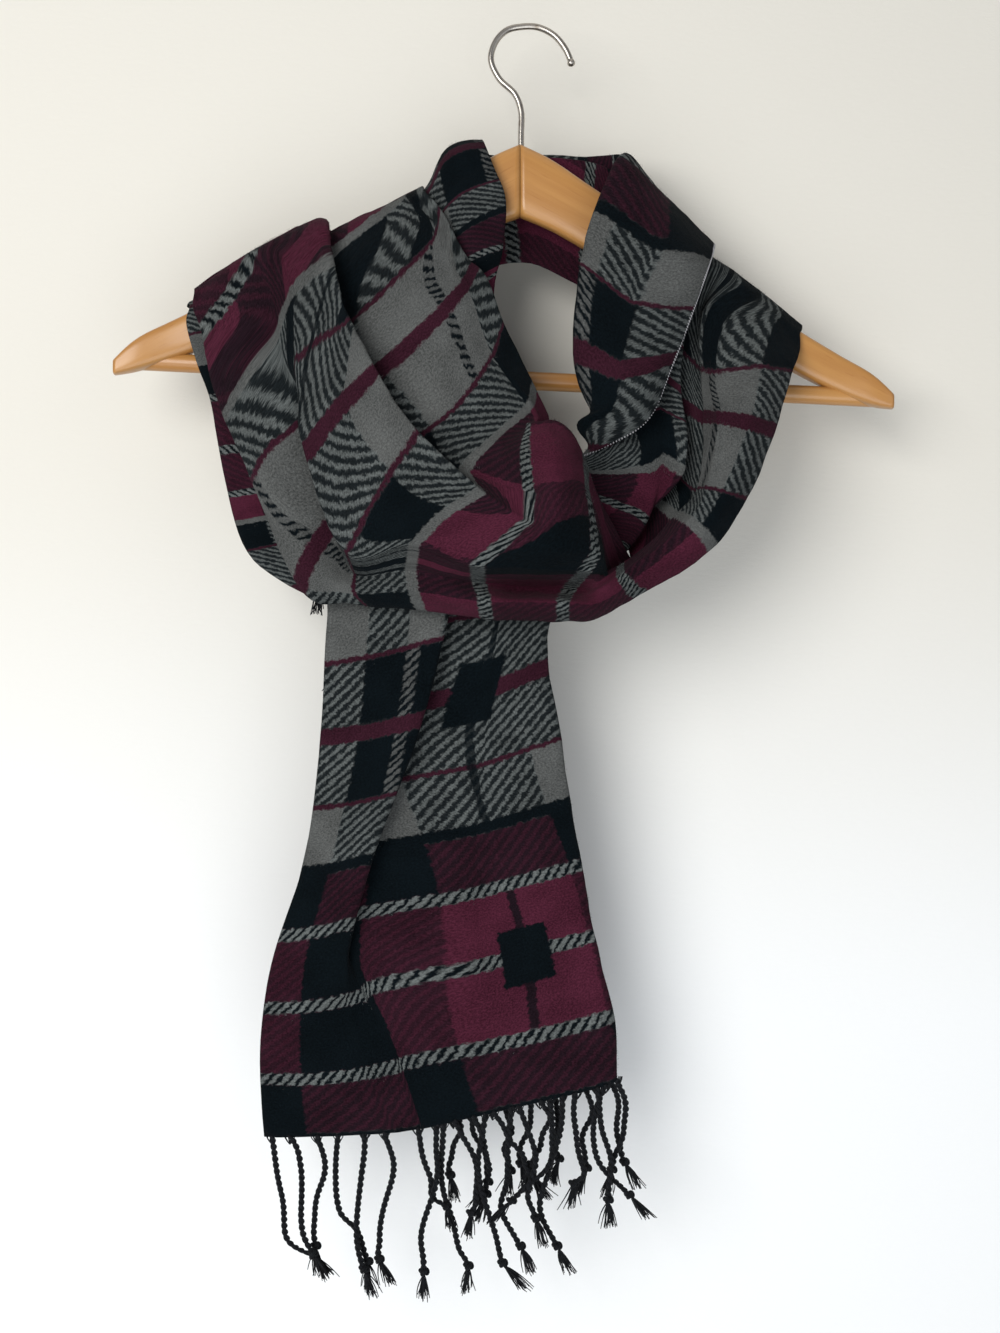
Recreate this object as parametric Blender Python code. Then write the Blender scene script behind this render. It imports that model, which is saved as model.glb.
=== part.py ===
"""A plaid scarf wound twice around a wooden coat hanger with a steel hook.

Metres, +Z up, the front faces -Y and the origin is the inside top of the hook, where it hangs.
The cloth is one long strip.  Three tables follow it along its length, and every row is one
section across the strip.  The points of a row lie on the same lengthwise lines as those of the
next row: an edge, the crest of a fold, or its hidden tuck.
"""

import math

import bmesh
import bpy
import numpy as np
from mathutils import Vector

MM = 0.001

# sizes, in millimetres
CLOTH_WALL = 1.5
SEAM_GAP = {"shoulder": 0.25, "front": 0.8}  # taken off each of two stretches where they meet
FOLD_RADIUS = 2.0
STRAND_RADIUS = 1.25
KNOT_RADIUS = 2.6
BACKING_GAP = 0.9  # below the cloth's end
BACKING_DROP = 3.0  # height of the strip that the strands grow from
ARM_THICK = 13.0
ARM_EDGE_ROUND = 0.34  # share of the thickness that the rounded edges take
JOINT_GAP = 0.3
ARM_REACH = (231.0, 212.0)  # left and right; the hanger is turned a little, as in the photo
RAIL_RADIUS = 5.2
RAIL_CLEARANCE = 0.35
WIRE_RADIUS = 1.8
WIRE_CLEARANCE = 0.35
HOOK_SOCKET_BOTTOM = -88.0
CUTTER_SIDES = 24

# The loop, from the left shoulder down the front, across the bottom and up to the right shoulder.
# Columns: lower edge, its middle, middle tuck, middle fold, between, main fold, main tuck,
# inner middle, inner edge, turned-in edge.  Each is x, y, z in millimetres.
LOOP_COLUMNS = ("edge", "edge_middle", "tuck", "fold", "between", "main_fold", "main_tuck",
                "inner_middle", "inner", "turned_in")
LOOP_FOLDS = ("tuck", "fold", "main_fold", "main_tuck", "inner")
LOOP_ROWS = {
    "left crest": ((-186, 0, -148.6), (-171.1, 0, -138.8), (-155, 0, -127.9), (-142.4, 0, -120.5),
        (-127.4, 0, -113), (-110.8, 0, -109.6), (-124, 0, -119.9), (-88.4, 0, -106.1), (-63.2, 0, -94.1),
        (-55.7, 0, -90.1)),
    "front lip": ((-183.9, -12, -153.5), (-168.1, -12, -144.5), (-152.3, -12, -133.8),
        (-139.8, -12.5, -126.6), (-124.9, -14, -120.2), (-108, -18, -118.1), (-122.1, -13.5, -127.4),
        (-86.7, -12, -112.8), (-61.8, -12.5, -100.6), (-54.4, -14, -97.1)),
    "left panel 1": ((-183.9, -15, -162.8), (-162.6, -20, -154), (-144.7, -20, -143.9),
        (-132.2, -21, -137.5), (-119.5, -24, -131.7), (-106.3, -27, -129.8), (-122.2, -16.5, -137.9),
        (-81.7, -17, -119.5), (-56.4, -18, -107.5), (-48.5, -19, -104.4)),
    "left panel 2": ((-178.1, -21, -177.8), (-155.1, -30, -174.4), (-135.8, -30, -166.7),
        (-126.1, -32, -160.6), (-114.6, -36, -151.8), (-102.7, -39, -145.5), (-119.7, -23, -150.4),
        (-77.2, -24, -130), (-49.4, -23, -116.4), (-42.3, -20, -113.7)),
    "left panel 3": ((-170.1, -27, -211.4), (-148.5, -36, -203.3), (-129, -35, -199.2),
        (-122.2, -40, -193.2), (-110.1, -45, -177), (-97.3, -48, -165.4), (-115.6, -28, -170),
        (-72.2, -31, -146), (-44.7, -29, -131.6), (-36, -24, -127.3)),
    "left panel 4": ((-151.1, -34, -254.5), (-137.7, -42, -247), (-109.3, -34, -229.2),
        (-120.4, -45, -223.1), (-105.5, -51, -201.1), (-90.6, -55, -183.8), (-109.5, -33, -191.6),
        (-65.1, -38, -164.3), (-37.9, -33, -144.9), (-29.3, -26, -138.4)),
    "left panel 5": ((-120.2, -46, -322.3), (-112.7, -50, -305.3), (-96, -40, -278.3),
        (-115.8, -51, -250), (-98.9, -57, -226.9), (-78.8, -61, -205.4), (-97.3, -38, -214.6),
        (-52.2, -43, -183), (-27.9, -37, -159.7), (-19.8, -29, -149.8)),
    "left panel 6": ((-91.1, -50, -331.1), (-94.4, -55, -323.8), (-91.1, -50, -313.9),
        (-93.4, -59, -303.9), (-82.2, -65, -276.9), (-61.4, -68, -234.2), (-78.7, -45, -244.7),
        (-38.4, -50, -221.3), (-14.8, -45, -194.4), (-7.7, -36, -181.4)),
    "bottom 1": ((-50.4, -57, -335.1), (-54.7, -65, -325.4), (-57.8, -66, -313.9), (-56.4, -72, -301.3),
        (-46.8, -77, -286.1), (-28.5, -80, -268.4), (-43.7, -52, -255), (-15.8, -58, -243.1),
        (8.1, -60, -231.7), (15, -46, -233.5)),
    "bottom 2": ((-18.4, -60, -339), (-19.8, -73, -331.1), (-23.6, -64, -320.6), (-23.9, -80, -312.3),
        (-13, -88, -302.7), (1.2, -91, -290.7), (1.9, -82, -274.8), (0.8, -84, -256.1),
        (3.5, -78, -239.1), (5, -56, -247.6)),
    "bottom 3": ((4.4, -60, -340.6), (3.1, -74, -331.7), (1.4, -52, -322.6), (4.9, -84, -314.7),
        (11.3, -93, -305.6), (15.2, -98, -293), (16.7, -97, -276.7), (16.9, -93, -257.5),
        (16.4, -80, -237.9), (18.4, -57, -247.7)),
    "bottom 4": ((24.6, -60, -340.6), (22.9, -74, -332.2), (27, -54, -323.8), (33.1, -78, -315.3),
        (36.8, -84, -306.4), (35.8, -84, -293.1), (33.3, -82, -277.4), (30.3, -80, -261.2),
        (27.6, -73, -246.6), (27.9, -58, -253.7)),
    "bottom 5": ((43.2, -60, -337.4), (42.4, -71, -331), (42.8, -72, -323.7), (44.9, -66, -315),
        (48.8, -56, -323.4), (51.6, -48, -328.8), (53.8, -42, -323.1), (55.1, -39, -317.5),
        (57.5, -37, -311.9), (60.9, -36, -307.4)),
    "bottom 6": ((65.7, -58, -325.1), (60.7, -66, -319.7), (57, -66, -313.4), (58.8, -58, -307.5),
        (63.7, -51, -315.6), (67.8, -43, -319.9), (71.2, -37, -313), (72.3, -32, -304.9),
        (68.2, -26, -297.2), (58.6, -20, -292.8)),
    "right side 1": ((104.7, -50, -299.3), (98.3, -57, -292.5), (90.9, -57, -286.1), (85.7, -47, -281.8),
        (93.3, -39, -286.9), (95.4, -32, -288.4), (86.2, -26, -278.9), (77.9, -21, -271.7),
        (68.8, -17, -265.6), (60.7, -14, -262.9)),
    "right side 2": ((121.4, -50, -273.5), (109.4, -58, -271.3), (99.7, -55, -268.8), (96.4, -44, -267.9),
        (101.9, -33, -270.3), (94, -26, -264.5), (84.6, -21, -254.9), (73.9, -17, -247.6),
        (62.8, -15, -241.7), (54, -13, -239.1)),
    "right side 3": ((136.7, -46, -238.4), (120, -55, -235.1), (105.7, -51, -231.7), (100.3, -40, -229.2),
        (104, -30, -230.7), (95.4, -24, -223), (84.9, -19, -215.4), (72.9, -15.5, -208),
        (60.7, -14, -202), (50.6, -13, -198.4)),
    "right side 4": ((149.7, -28, -203.3), (128.8, -39, -203.9), (104.6, -37, -206.2),
        (100.4, -28, -202.7), (102.5, -21, -203.5), (95.1, -18, -195), (84.3, -15, -184.2),
        (73.2, -13, -175.8), (60.9, -12, -166.5), (51.9, -11.5, -163)),
    "right side 5": ((158.1, -12, -185.2), (138.7, -19, -175), (113.5, -22, -170.2), (102.8, -19, -166.6),
        (102.6, -13, -164.5), (93.8, -11, -157.2), (84.2, -10.5, -149.7), (74.1, -10, -141.7),
        (63.9, -10, -133.7), (54.3, -10, -126.4)),
    "right lip": ((159, -8, -175.2), (146.8, -9, -165.2), (133.7, -9.5, -154.6), (121.8, -9.5, -146.6),
        (113.9, -9, -140.3), (104.9, -8.5, -133.9), (95.8, -8.5, -127.6), (85.6, -8.5, -120.8),
        (76, -8.5, -114.6), (67.4, -8.5, -108.9)),
    "right crest": ((161.3, 0, -169.8), (149.2, 0, -159.5), (136, 0, -148.6), (124, 0, -140),
        (115.9, 0, -134.3), (106.7, 0, -127.4), (97.6, 0, -121.1), (87.2, 0, -114.2), (77.5, 0, -107.8),
        (68.9, 0, -102.1)),
}

# The strip under the loop, from the right shoulder behind the neck to the hidden end.
# Columns: lower edge, four points across, neck edge.
UNDER_COLUMNS = ("edge", "outer_fold", "outer_middle", "inner_middle", "inner_fold", "neck")
UNDER_FOLDS = ()
UNDER_ROWS = {
    "right crest": ((161.3, 0, -169.8), (136, 0, -148.6), (115.9, 0, -134.3), (97.6, 0, -121.1),
        (83.2, 0, -111.9), (68.9, 0, -102.1)),
    "right back lip": ((162.5, 8.5, -171.2), (137, 8.5, -149.8), (116.7, 8.5, -135.3),
        (98.1, 8.5, -122.5), (83.6, 8.5, -112.7), (69.7, 8.5, -102.2)),
    "right back": ((155.5, 14, -183.4), (128.8, 15, -169.1), (108.7, 13, -153.3), (92.3, 12.5, -133.6),
        (80.6, 12, -114.5), (68.3, 12, -95.8)),
    "behind neck 1": ((100, 18, -180.1), (86.7, 15, -160.9), (76.1, 14, -141.3), (67.8, 13, -120.6),
        (63.1, 12, -99.9), (59.5, 11, -81.6)),
    "behind neck 2": ((32.9, 14, -141.3), (31.8, 15, -128.2), (32.3, 14, -114.4), (34, 13, -100.8),
        (35.2, 13, -84.4), (36.3, 12, -70.8)),
    "behind neck 3": ((-11.5, 14, -130.2), (-11.5, 15, -118.8), (-13.3, 14, -106.3), (-15, 13, -93.8),
        (-16.7, 13, -79.8), (-18.5, 12, -67.3)),
    "behind neck 4": ((-81.8, 17, -167.5), (-71.1, 15, -149.2), (-61.7, 13, -131.1), (-50, 12.5, -107.9),
        (-35.4, 13, -84.4), (-20.8, 12, -64.4)),
    "left back lip": ((-190.8, 8.5, -157.3), (-160, 8.5, -144.6), (-110.1, 8.5, -119.6),
        (-55.6, 8.5, -93.5), (-39.4, 10, -71.5), (-21.4, 9.5, -63)),
    "left crest": ((-189.4, 0, -156.1), (-159, 0, -142.9), (-109.1, 0, -118.8), (-55.1, 0, -92.6),
        (-41.3, 0, -67.7), (-21.8, 0, -63.1)),
    "left front lip": ((-187.5, -8.5, -161.1), (-157.5, -8.5, -148.6), (-108, -8.5, -124.2),
        (-54.7, -8.5, -98.7), (-39.8, -10.5, -75.5), (-20, -10, -70.3)),
    "hidden end 1": ((-189, -9.5, -169.3), (-153.2, -10, -159.2), (-106.7, -10, -136.6),
        (-54.6, -10.5, -111.2), (-37.4, -14, -92.6), (-14.9, -13, -84.4)),
    "hidden end 2": ((-182.8, -12, -192), (-145.7, -14, -183.4), (-103.7, -12, -160.3),
        (-54.5, -12, -133.8), (-30.6, -17, -112.8), (-8.7, -14, -101.6)),
    "hidden end 3": ((-174.5, -14, -215), (-137.7, -18, -209.6), (-101.7, -14, -187.4),
        (-63.4, -14, -163.7), (-28.3, -20, -138.3), (-10.4, -14, -129.8)),
    "hidden end 4": ((-166.4, -15, -257.4), (-131.8, -20, -250.3), (-98.7, -16, -226.1),
        (-60.9, -18, -195.6), (-31.1, -18, -167.5), (-14.9, -15, -151.5)),
    "hidden end 5": ((-149.1, -17, -305.4), (-120.4, -22, -298.6), (-94.5, -18, -285.3),
        (-61.7, -22, -260.6), (-33.9, -18, -232), (-17.1, -17, -215)),
    "hidden end 6": ((-115.7, -19, -326.3), (-103.5, -23, -321), (-87.1, -19, -306.7), (-66.1, -23, -292),
        (-45.1, -19, -274.2), (-23.8, -18, -254.5)),
}

# The outer strip, from the left shoulder behind the neck, down the right flap and out as the tail.
# Columns: hanging selvedge, front middle, front fold, neck fold or tuck, middle, right fold,
# turned-under selvedge.
RUN_COLUMNS = ("selvedge", "front_middle", "front_fold", "tuck", "middle", "right_fold", "under")
RUN_FOLDS = ("front_fold", "tuck", "middle", "right_fold")
RUN_ROWS = {
    "left crest": ((-186, 0, -148.6), (-156.1, 0, -129.1), (-127.4, 0, -113), (-110.8, 0, -109.6),
        (-124, 0, -119.9), (-88.4, 0, -106.1), (-55.7, 0, -90.1)),
    "left back lip": ((-188.1, 12.5, -148.1), (-157.8, 12.5, -128.3), (-128.9, 14, -112.1),
        (-113, 18, -107.3), (-125.3, 13.5, -119.3), (-89, 12.5, -105), (-55.8, 12.5, -88.7)),
    "neck 1": ((-168, 26, -178.3), (-136.7, 31, -159.3), (-112.9, 31, -136.6), (-91.2, 29, -117),
        (-104.6, 21, -134.7), (-77.3, 19, -114.1), (-51.4, 17, -92.4)),
    "neck 2": ((-85.7, 34, -184.9), (-69.2, 38, -155.2), (-57.1, 37, -126.6), (-41.4, 33, -89.5),
        (-53, 26, -119), (-44.5, 21, -109.9), (-36.2, 18, -99.1)),
    "neck 3": ((-13.3, 34, -122.7), (-12.1, 37, -102.6), (-10.3, 36, -83.7), (-8.5, 31, -62.7),
        (-9.7, 25, -88.6), (-10.9, 22, -104.9), (-12.1, 19, -120)),
    "neck 4": ((36.4, 34, -134.6), (37.7, 36, -108.9), (41.2, 34, -84.4), (44.3, 28, -62.6),
        (40.4, 22, -88.4), (37.9, 20, -110.2), (36.7, 19, -127)),
    "neck 5": ((102.2, 34, -160.9), (86.8, 35, -122.4), (68.3, 30, -86.9), (58.3, 24, -62.9),
        (66.1, 19, -94.1), (76.6, 18.5, -114.2), (89.6, 19, -138.8)),
    "right back lip": ((112.7, 13, -123.5), (99.6, 15, -109.5), (82.2, 16, -91), (59.7, 13, -68.1),
        (70.1, 12.5, -94.5), (86.4, 12.5, -106.7), (103.9, 12.5, -120.2)),
    "right crest": ((110.8, 0, -123.3), (97.6, 0, -109.6), (80.3, 0, -92.4), (59.7, 0, -70.5),
        (68.9, 0, -94.6), (84.9, 0, -106.1), (102.2, 0, -119.9)),
    "right front lip": ((108.2, -13, -131.2), (95, -15, -118.3), (78.5, -16, -101.7), (55.7, -13, -78.7),
        (66.5, -12, -102.7), (82.9, -12, -114.5), (99.8, -12.5, -127.7)),
    "flap 1": ((103.2, -24, -145.1), (93.6, -29, -136.5), (78.9, -32, -125.3), (48.9, -20, -91.3),
        (61.6, -16, -116.4), (79.6, -16, -131.6), (96.4, -17, -149.8)),
    "flap 2": ((94.3, -32, -169.4), (82.5, -38, -165.4), (64.6, -42, -157.8), (36.7, -28, -127.4),
        (52.9, -20, -143.9), (73.6, -20, -159.6), (92.3, -22, -173.5)),
    "flap 3": ((82, -38, -201), (71.8, -46, -198.9), (55.8, -50, -193.3), (30.7, -36, -161.6),
        (50.7, -26, -180.6), (75.2, -25, -195.4), (88.1, -29, -207.3)),
    "flap 4": ((66.3, -42, -232.8), (58.5, -49, -230.8), (47.6, -51, -225.8), (32.1, -40, -211.8),
        (55.8, -31, -222.1), (78.1, -29, -231.7), (91.4, -33, -237.9)),
    "flap 5": ((46.2, -41, -244.6), (39.5, -44, -240.2), (31.1, -39, -233.4), (46.9, -32.5, -232.3),
        (63.5, -31, -237), (78, -30, -242.9), (90.7, -34, -249.6)),
    "flap 6": ((31.2, -37, -250.6), (35, -38, -248.5), (40, -37, -246.2), (48.9, -35, -245.3),
        (63.3, -33, -247.8), (77.8, -32, -253.1), (88.5, -34, -260)),
    "under cowl": ((-28, -33, -279.7), (-12.6, -36, -277.8), (3.8, -37, -275.8), (23.7, -34, -276.5),
        (44.6, -33, -281.9), (65.4, -34, -291.9), (48.4, -27, -295.7)),
    "tail 1": ((-102.2, -34, -316.1), (-70.4, -40, -315.4), (-37.6, -42, -313.3), (-63.8, -33, -316),
        (-8.8, -36, -318.4), (30.2, -35, -322.7), (-20.4, -28, -325.7)),
    "tail 2": ((-105.8, -36, -340.3), (-73.4, -43, -341.6), (-40.8, -45, -340.6), (-67.5, -35, -342.5),
        (-11.5, -38, -342.6), (14.8, -37, -342.6), (-39.1, -30, -344.6)),
    "tail 3": ((-109.6, -36, -405), (-83.2, -43, -405.2), (-56.5, -45, -402.9), (-92.8, -34.5, -405.1),
        (-18.1, -38, -404.9), (21.4, -36, -405), (-41.4, -29, -406.5)),
    "tail 4": ((-119.9, -33, -475.6), (-100.9, -40, -475.7), (-82.7, -42, -474.3), (-103, -32, -478),
        (-24.7, -36, -476.3), (33, -34, -474.9), (-42.6, -27, -478.7)),
    "tail 5": ((-137.3, -31, -529.4), (-114.7, -35, -529.1), (-95.4, -36, -527.8), (-93.2, -31, -531.1),
        (-22.5, -34, -524.9), (41.4, -32, -520.9), (-43.7, -26, -528.8)),
    "tail 6": ((-143.5, -30, -577.7), (-113.4, -32, -579.4), (-87.4, -33, -578), (-71.1, -31, -577.4),
        (-11.5, -32, -570.5), (51.5, -30, -561.1), (-42.6, -25, -573.5)),
    "tail 7": ((-141.7, -28, -625.3), (-105.4, -30, -624.1), (-67.9, -30, -621.9), (-55.7, -30, -620.2),
        (-8.7, -30, -609.7), (52.8, -28, -593.8), (-39.3, -24, -615)),
}

# Arms of the hanger from the centre joint outwards.
# Columns: share of the reach, top of the left arm, top of the right arm, height, forward.
ARM_ROWS = (
    (0, -66.1, -66.1, 41.0, 0.0),
    (0.08, -74.4, -74.3, 39.9, 0.0),
    (0.18, -90.3, -88.5, 37.6, 0.0),
    (0.3, -105.0, -105.7, 34.2, 0.0),
    (0.43, -119.6, -124.1, 30.2, 0.0),
    (0.57, -135.2, -144.2, 27.3, 0.0),
    (0.72, -151.9, -168.2, 25.1, 0.0),
    (0.86, -167.4, -187.1, 21.6, 1.0),
    (0.95, -179.1, -199.3, 17.1, 3.7),
    (1.0, -190.5, -209.9, 8.5, 6.0),
)

# Line of the hook's wire from inside the wood to its end: x, z.
HOOK_LINE = (
    (0.6, -72.8), (0.6, -59.6), (0.6, -46.4), (-2.9, -36.7), (-12.1, -27.5), (-16.7, -16.6),
    (-13.8, -6.2), (-7.5, 0.1), (0.6, 2.1), (10.3, 1.8), (19.5, -2.8), (25.8, -10.3), (28.7, -16.6),
    (29.8, -20.6),
)
RAIL_ENDS = ((-224.5, -189.4), (206.6, -211.2))

# Fringe strands: root place along the cloth's edge (0..1), end x, end z, sideways sag, forward.
FRINGE_TAIL = (
    (0.028, -123.2, -690.3, -4.4, 0),
    (0.085, -116.1, -694.1, -3.3, 5),
    (0.151, -108.9, -691.9, 2.2, -4),
    (0.211, -86.7, -695.3, -3.3, 0),
    (0.288, -81.2, -690.8, 4.4, 7),
    (0.350, -75.1, -694.1, 5.5, -7),
    (0.436, -53.5, -696.4, 2.2, 0),
    (0.490, -30.3, -695.3, -3.3, 0),
    (0.538, -40.8, -662.6, 2.2, 5),
    (0.587, -11.5, -694.1, -2.2, -5),
    (0.630, -24.8, -668.7, 1.7, 5),
    (0.670, 0.7, -685.3, -2.2, 0),
    (0.718, 13.9, -667.6, -3.3, 6),
    (0.786, 20.6, -687.5, 2.2, 0),
    (0.840, 8.4, -663.2, 2.8, -7),
    (0.892, 27.8, -657.6, 2.8, 0),
    (0.954, 47.1, -670.9, 4.4, 0),
)
FRINGE_TURNED = (
    (0.958, -39.3, -664.3, 1.7, -4),
    (0.849, -18.2, -668.8, -1.7, -5),
    (0.681, -5.4, -662.1, 1.7, -4),
    (0.518, 0.2, -658.8, 1.7, -6),
    (0.386, 21.8, -655.4, 1.7, -4),
    (0.193, 37.4, -661.0, 2.2, -5),
    (0.048, 58.5, -656.6, 2.2, -4),
)
FRINGE_HIDDEN = (
    (0.049, -113.4, -335.3, -1.7, 0),
    (0.171, -98.8, -380.2, 1.1, 0),
    (0.256, -91.0, -366.3, 1.1, 0),
    (0.341, -83.1, -366.3, 1.1, 0),
    (0.427, -75.3, -356.3, 1.1, 0),
    (0.512, -67.5, -355.8, 1.1, 0),
    (0.598, -59.6, -341.8, 1.1, 0),
    (0.683, -51.8, -341.9, 1.1, 0),
    (0.768, -44.0, -331.8, 1.1, 0),
    (0.854, -36.1, -331.3, 1.1, 0),
    (0.939, -28.3, -317.4, 1.1, 0),
)


def clear_scene():
    """Removes every object of the start-up file."""
    for item in list(bpy.data.objects):
        bpy.data.objects.remove(item)


def collection(name):
    """Makes a named collection in the scene."""
    made = bpy.data.collections.new(name)
    bpy.context.scene.collection.children.link(made)
    return made


def material(name, colour, roughness, metallic=0.0):
    """Makes a plain Principled material."""
    made = bpy.data.materials.new(name)
    made.use_nodes = True
    shader = made.node_tree.nodes["Principled BSDF"]
    shader.inputs["Base Color"].default_value = (*colour, 1.0)
    shader.inputs["Roughness"].default_value = roughness
    shader.inputs["Metallic"].default_value = metallic
    return made


def mesh_object(name, points, faces, paint, group, smooth=True):
    """Makes an object from points in millimetres, with its faces turned outwards."""
    mesh = bpy.data.meshes.new(name)
    mesh.from_pydata((np.asarray(points, float) * MM).tolist(), [], faces)
    work = bmesh.new()
    work.from_mesh(mesh)
    bmesh.ops.recalc_face_normals(work, faces=work.faces)
    if work.calc_volume(signed=True) < 0:
        bmesh.ops.reverse_faces(work, faces=work.faces)
    work.to_mesh(mesh)
    work.free()
    mesh.shade_smooth() if smooth else mesh.shade_flat()
    made = bpy.data.objects.new(name, mesh)
    mesh.materials.append(paint)
    group.objects.link(made)
    return made


def through(points, knots, places):
    """Follows a smooth curve through points along axis 0, whose knots broadcast over the rest."""
    knots = np.asarray(knots, float)
    step = np.diff(knots, axis=0)
    slope = np.diff(points, axis=0) / step
    tangent = np.empty_like(points)
    tangent[1:-1] = (slope[:-1] * step[1:] + slope[1:] * step[:-1]) / (step[1:] + step[:-1])
    tangent[0] = 1.5 * slope[0] - 0.5 * tangent[1]
    tangent[-1] = 1.5 * slope[-1] - 0.5 * tangent[-2]
    span = np.clip(np.floor(places).astype(int), 0, len(points) - 2)
    s = (places - span).reshape((-1,) + (1,) * (points.ndim - 1))
    h = step[span]
    return (
        (2 * s**3 - 3 * s**2 + 1) * points[span]
        + (s**3 - 2 * s**2 + s) * h * tangent[span]
        + (3 * s**2 - 2 * s**3) * points[span + 1]
        + (s**3 - s**2) * h * tangent[span + 1]
    )


def chord_knots(points, power):
    """Knots along axis 0 that grow with the distance between neighbouring points."""
    apart = np.linalg.norm(np.diff(points, axis=0), axis=-1, keepdims=True)
    return np.concatenate([np.zeros_like(apart[:1]), np.cumsum(np.maximum(apart, 0.5)**power, 0)])


def unit(vectors):
    """Scales vectors to length one."""
    return vectors / np.maximum(np.linalg.norm(vectors, axis=-1, keepdims=True), 1e-9)


def open_folds(lines, folds):
    """Replaces each line of a fold by three, which turn round with a radius.

    The sharper the cloth turns back there, the wider apart the outer two lie.
    """
    out = []
    for k, line in enumerate(lines):
        if k not in folds:
            out.append(line)
            continue
        before, after = lines[k - 1] - line, lines[k + 1] - line
        room = np.minimum(np.linalg.norm(before, axis=-1), np.linalg.norm(after, axis=-1))
        before, after = unit(before), unit(after)
        sharp = np.clip((before * after).sum(-1) * 0.9 + 0.2, 0.0, 1.0)
        reach = np.minimum(FOLD_RADIUS * 1.4, 0.25 * room)[:, None]
        apart = np.minimum(FOLD_RADIUS * sharp, 0.2 * room)[:, None] * unit(before - after)
        out += [line + before * reach + apart, line, line + after * reach - apart]
    return np.stack(out)


def across_places(count, folds, steps):
    """Where to sample across: steps to a span, and one step to each half of a turn."""
    places, at = [0.0], 0.0
    for k in range(count - 1):
        places += [at + (i + 1) / steps for i in range(steps)]
        at += 1.0
        if k + 1 in folds:
            places += [at + 1.0, at + 2.0]
            at += 2.0
    return np.array(places)


def cloth_grid(rows, folds, steps, along):
    """Samples a stretch of cloth: along is a row's number, with fractions between rows."""
    mean = np.linalg.norm(np.diff(rows, axis=0), axis=-1).mean(axis=1)
    knots = np.concatenate([[0.0], np.cumsum(mean**0.6)]).reshape(-1, 1, 1)
    lines = open_folds(through(rows, knots, along).transpose(1, 0, 2), folds)
    places = across_places(rows.shape[1], folds, steps)
    return through(lines, chord_knots(lines, 0.5), places).transpose(1, 0, 2)


def sheet_solid(name, grid, ahead, wall, paint, group):
    """Gives a grid of points a wall across both its directions and closes it round the rim."""
    rows, columns = grid.shape[:2]
    lift = unit(np.cross(ahead, np.gradient(grid, axis=1))) * wall / 2
    points = np.concatenate([(grid + lift).reshape(-1, 3), (grid - lift).reshape(-1, 3)])
    front = np.arange(rows * columns).reshape(rows, columns)
    back = front + rows * columns
    quads = [np.stack([front[:-1, :-1], front[1:, :-1], front[1:, 1:], front[:-1, 1:]], -1),
             np.stack([back[:-1, :-1], back[:-1, 1:], back[1:, 1:], back[1:, :-1]], -1)]
    rim = np.concatenate([front[0, :-1], front[:-1, -1], front[-1, :0:-1], front[:0:-1, 0]])
    turn = np.roll(rim, -1)
    quads.append(np.stack([rim, turn, turn + rows * columns, rim + rows * columns], -1))
    faces = np.concatenate([part.reshape(-1, 4) for part in quads]).tolist()
    return mesh_object(name, points, faces, paint, group)


def stretch(name, strip, first, last, paint, group, steps, parted):
    """Builds one stretch of a strip between two named rows, parted from its neighbours."""
    table, columns, folds = strip
    names = list(table)
    first, last = names.index(first), names.index(last)
    rows = np.array(list(table.values()), float)
    length = np.linalg.norm(np.diff(rows, axis=0), axis=-1).min(axis=1)
    along = np.linspace(first, last, (last - first) * steps[1] + 1)
    off = [0.0 if gap is None else SEAM_GAP[gap] for gap in parted]
    along[0] += min(off[0] / length[first], 0.1)
    along[-1] -= min(off[1] / length[last - 1], 0.1)
    at = {columns.index(fold) for fold in folds}
    grid = cloth_grid(rows, at, steps[0], along)
    ends = np.clip(along + 0.05, 0, len(rows) - 1), np.clip(along - 0.05, 0, len(rows) - 1)
    ahead = cloth_grid(rows, at, steps[0], ends[0]) - cloth_grid(rows, at, steps[0], ends[1])
    sheet_solid(name, grid, ahead, CLOTH_WALL, paint, group)
    return grid


def strand_path(root, end, sag, forward, count):
    """Points of a strand that hangs from its root, swings sideways and reaches its end."""
    t = np.linspace(0, 1, count)[:, None]
    line = root * (1 - t) + end * t
    line[:, 0] += sag * np.sin(math.pi * t[:, 0])
    line[:, 1] -= forward * np.sin(math.pi * np.clip(t[:, 0], 0, 1) * 0.5)
    return line


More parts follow.
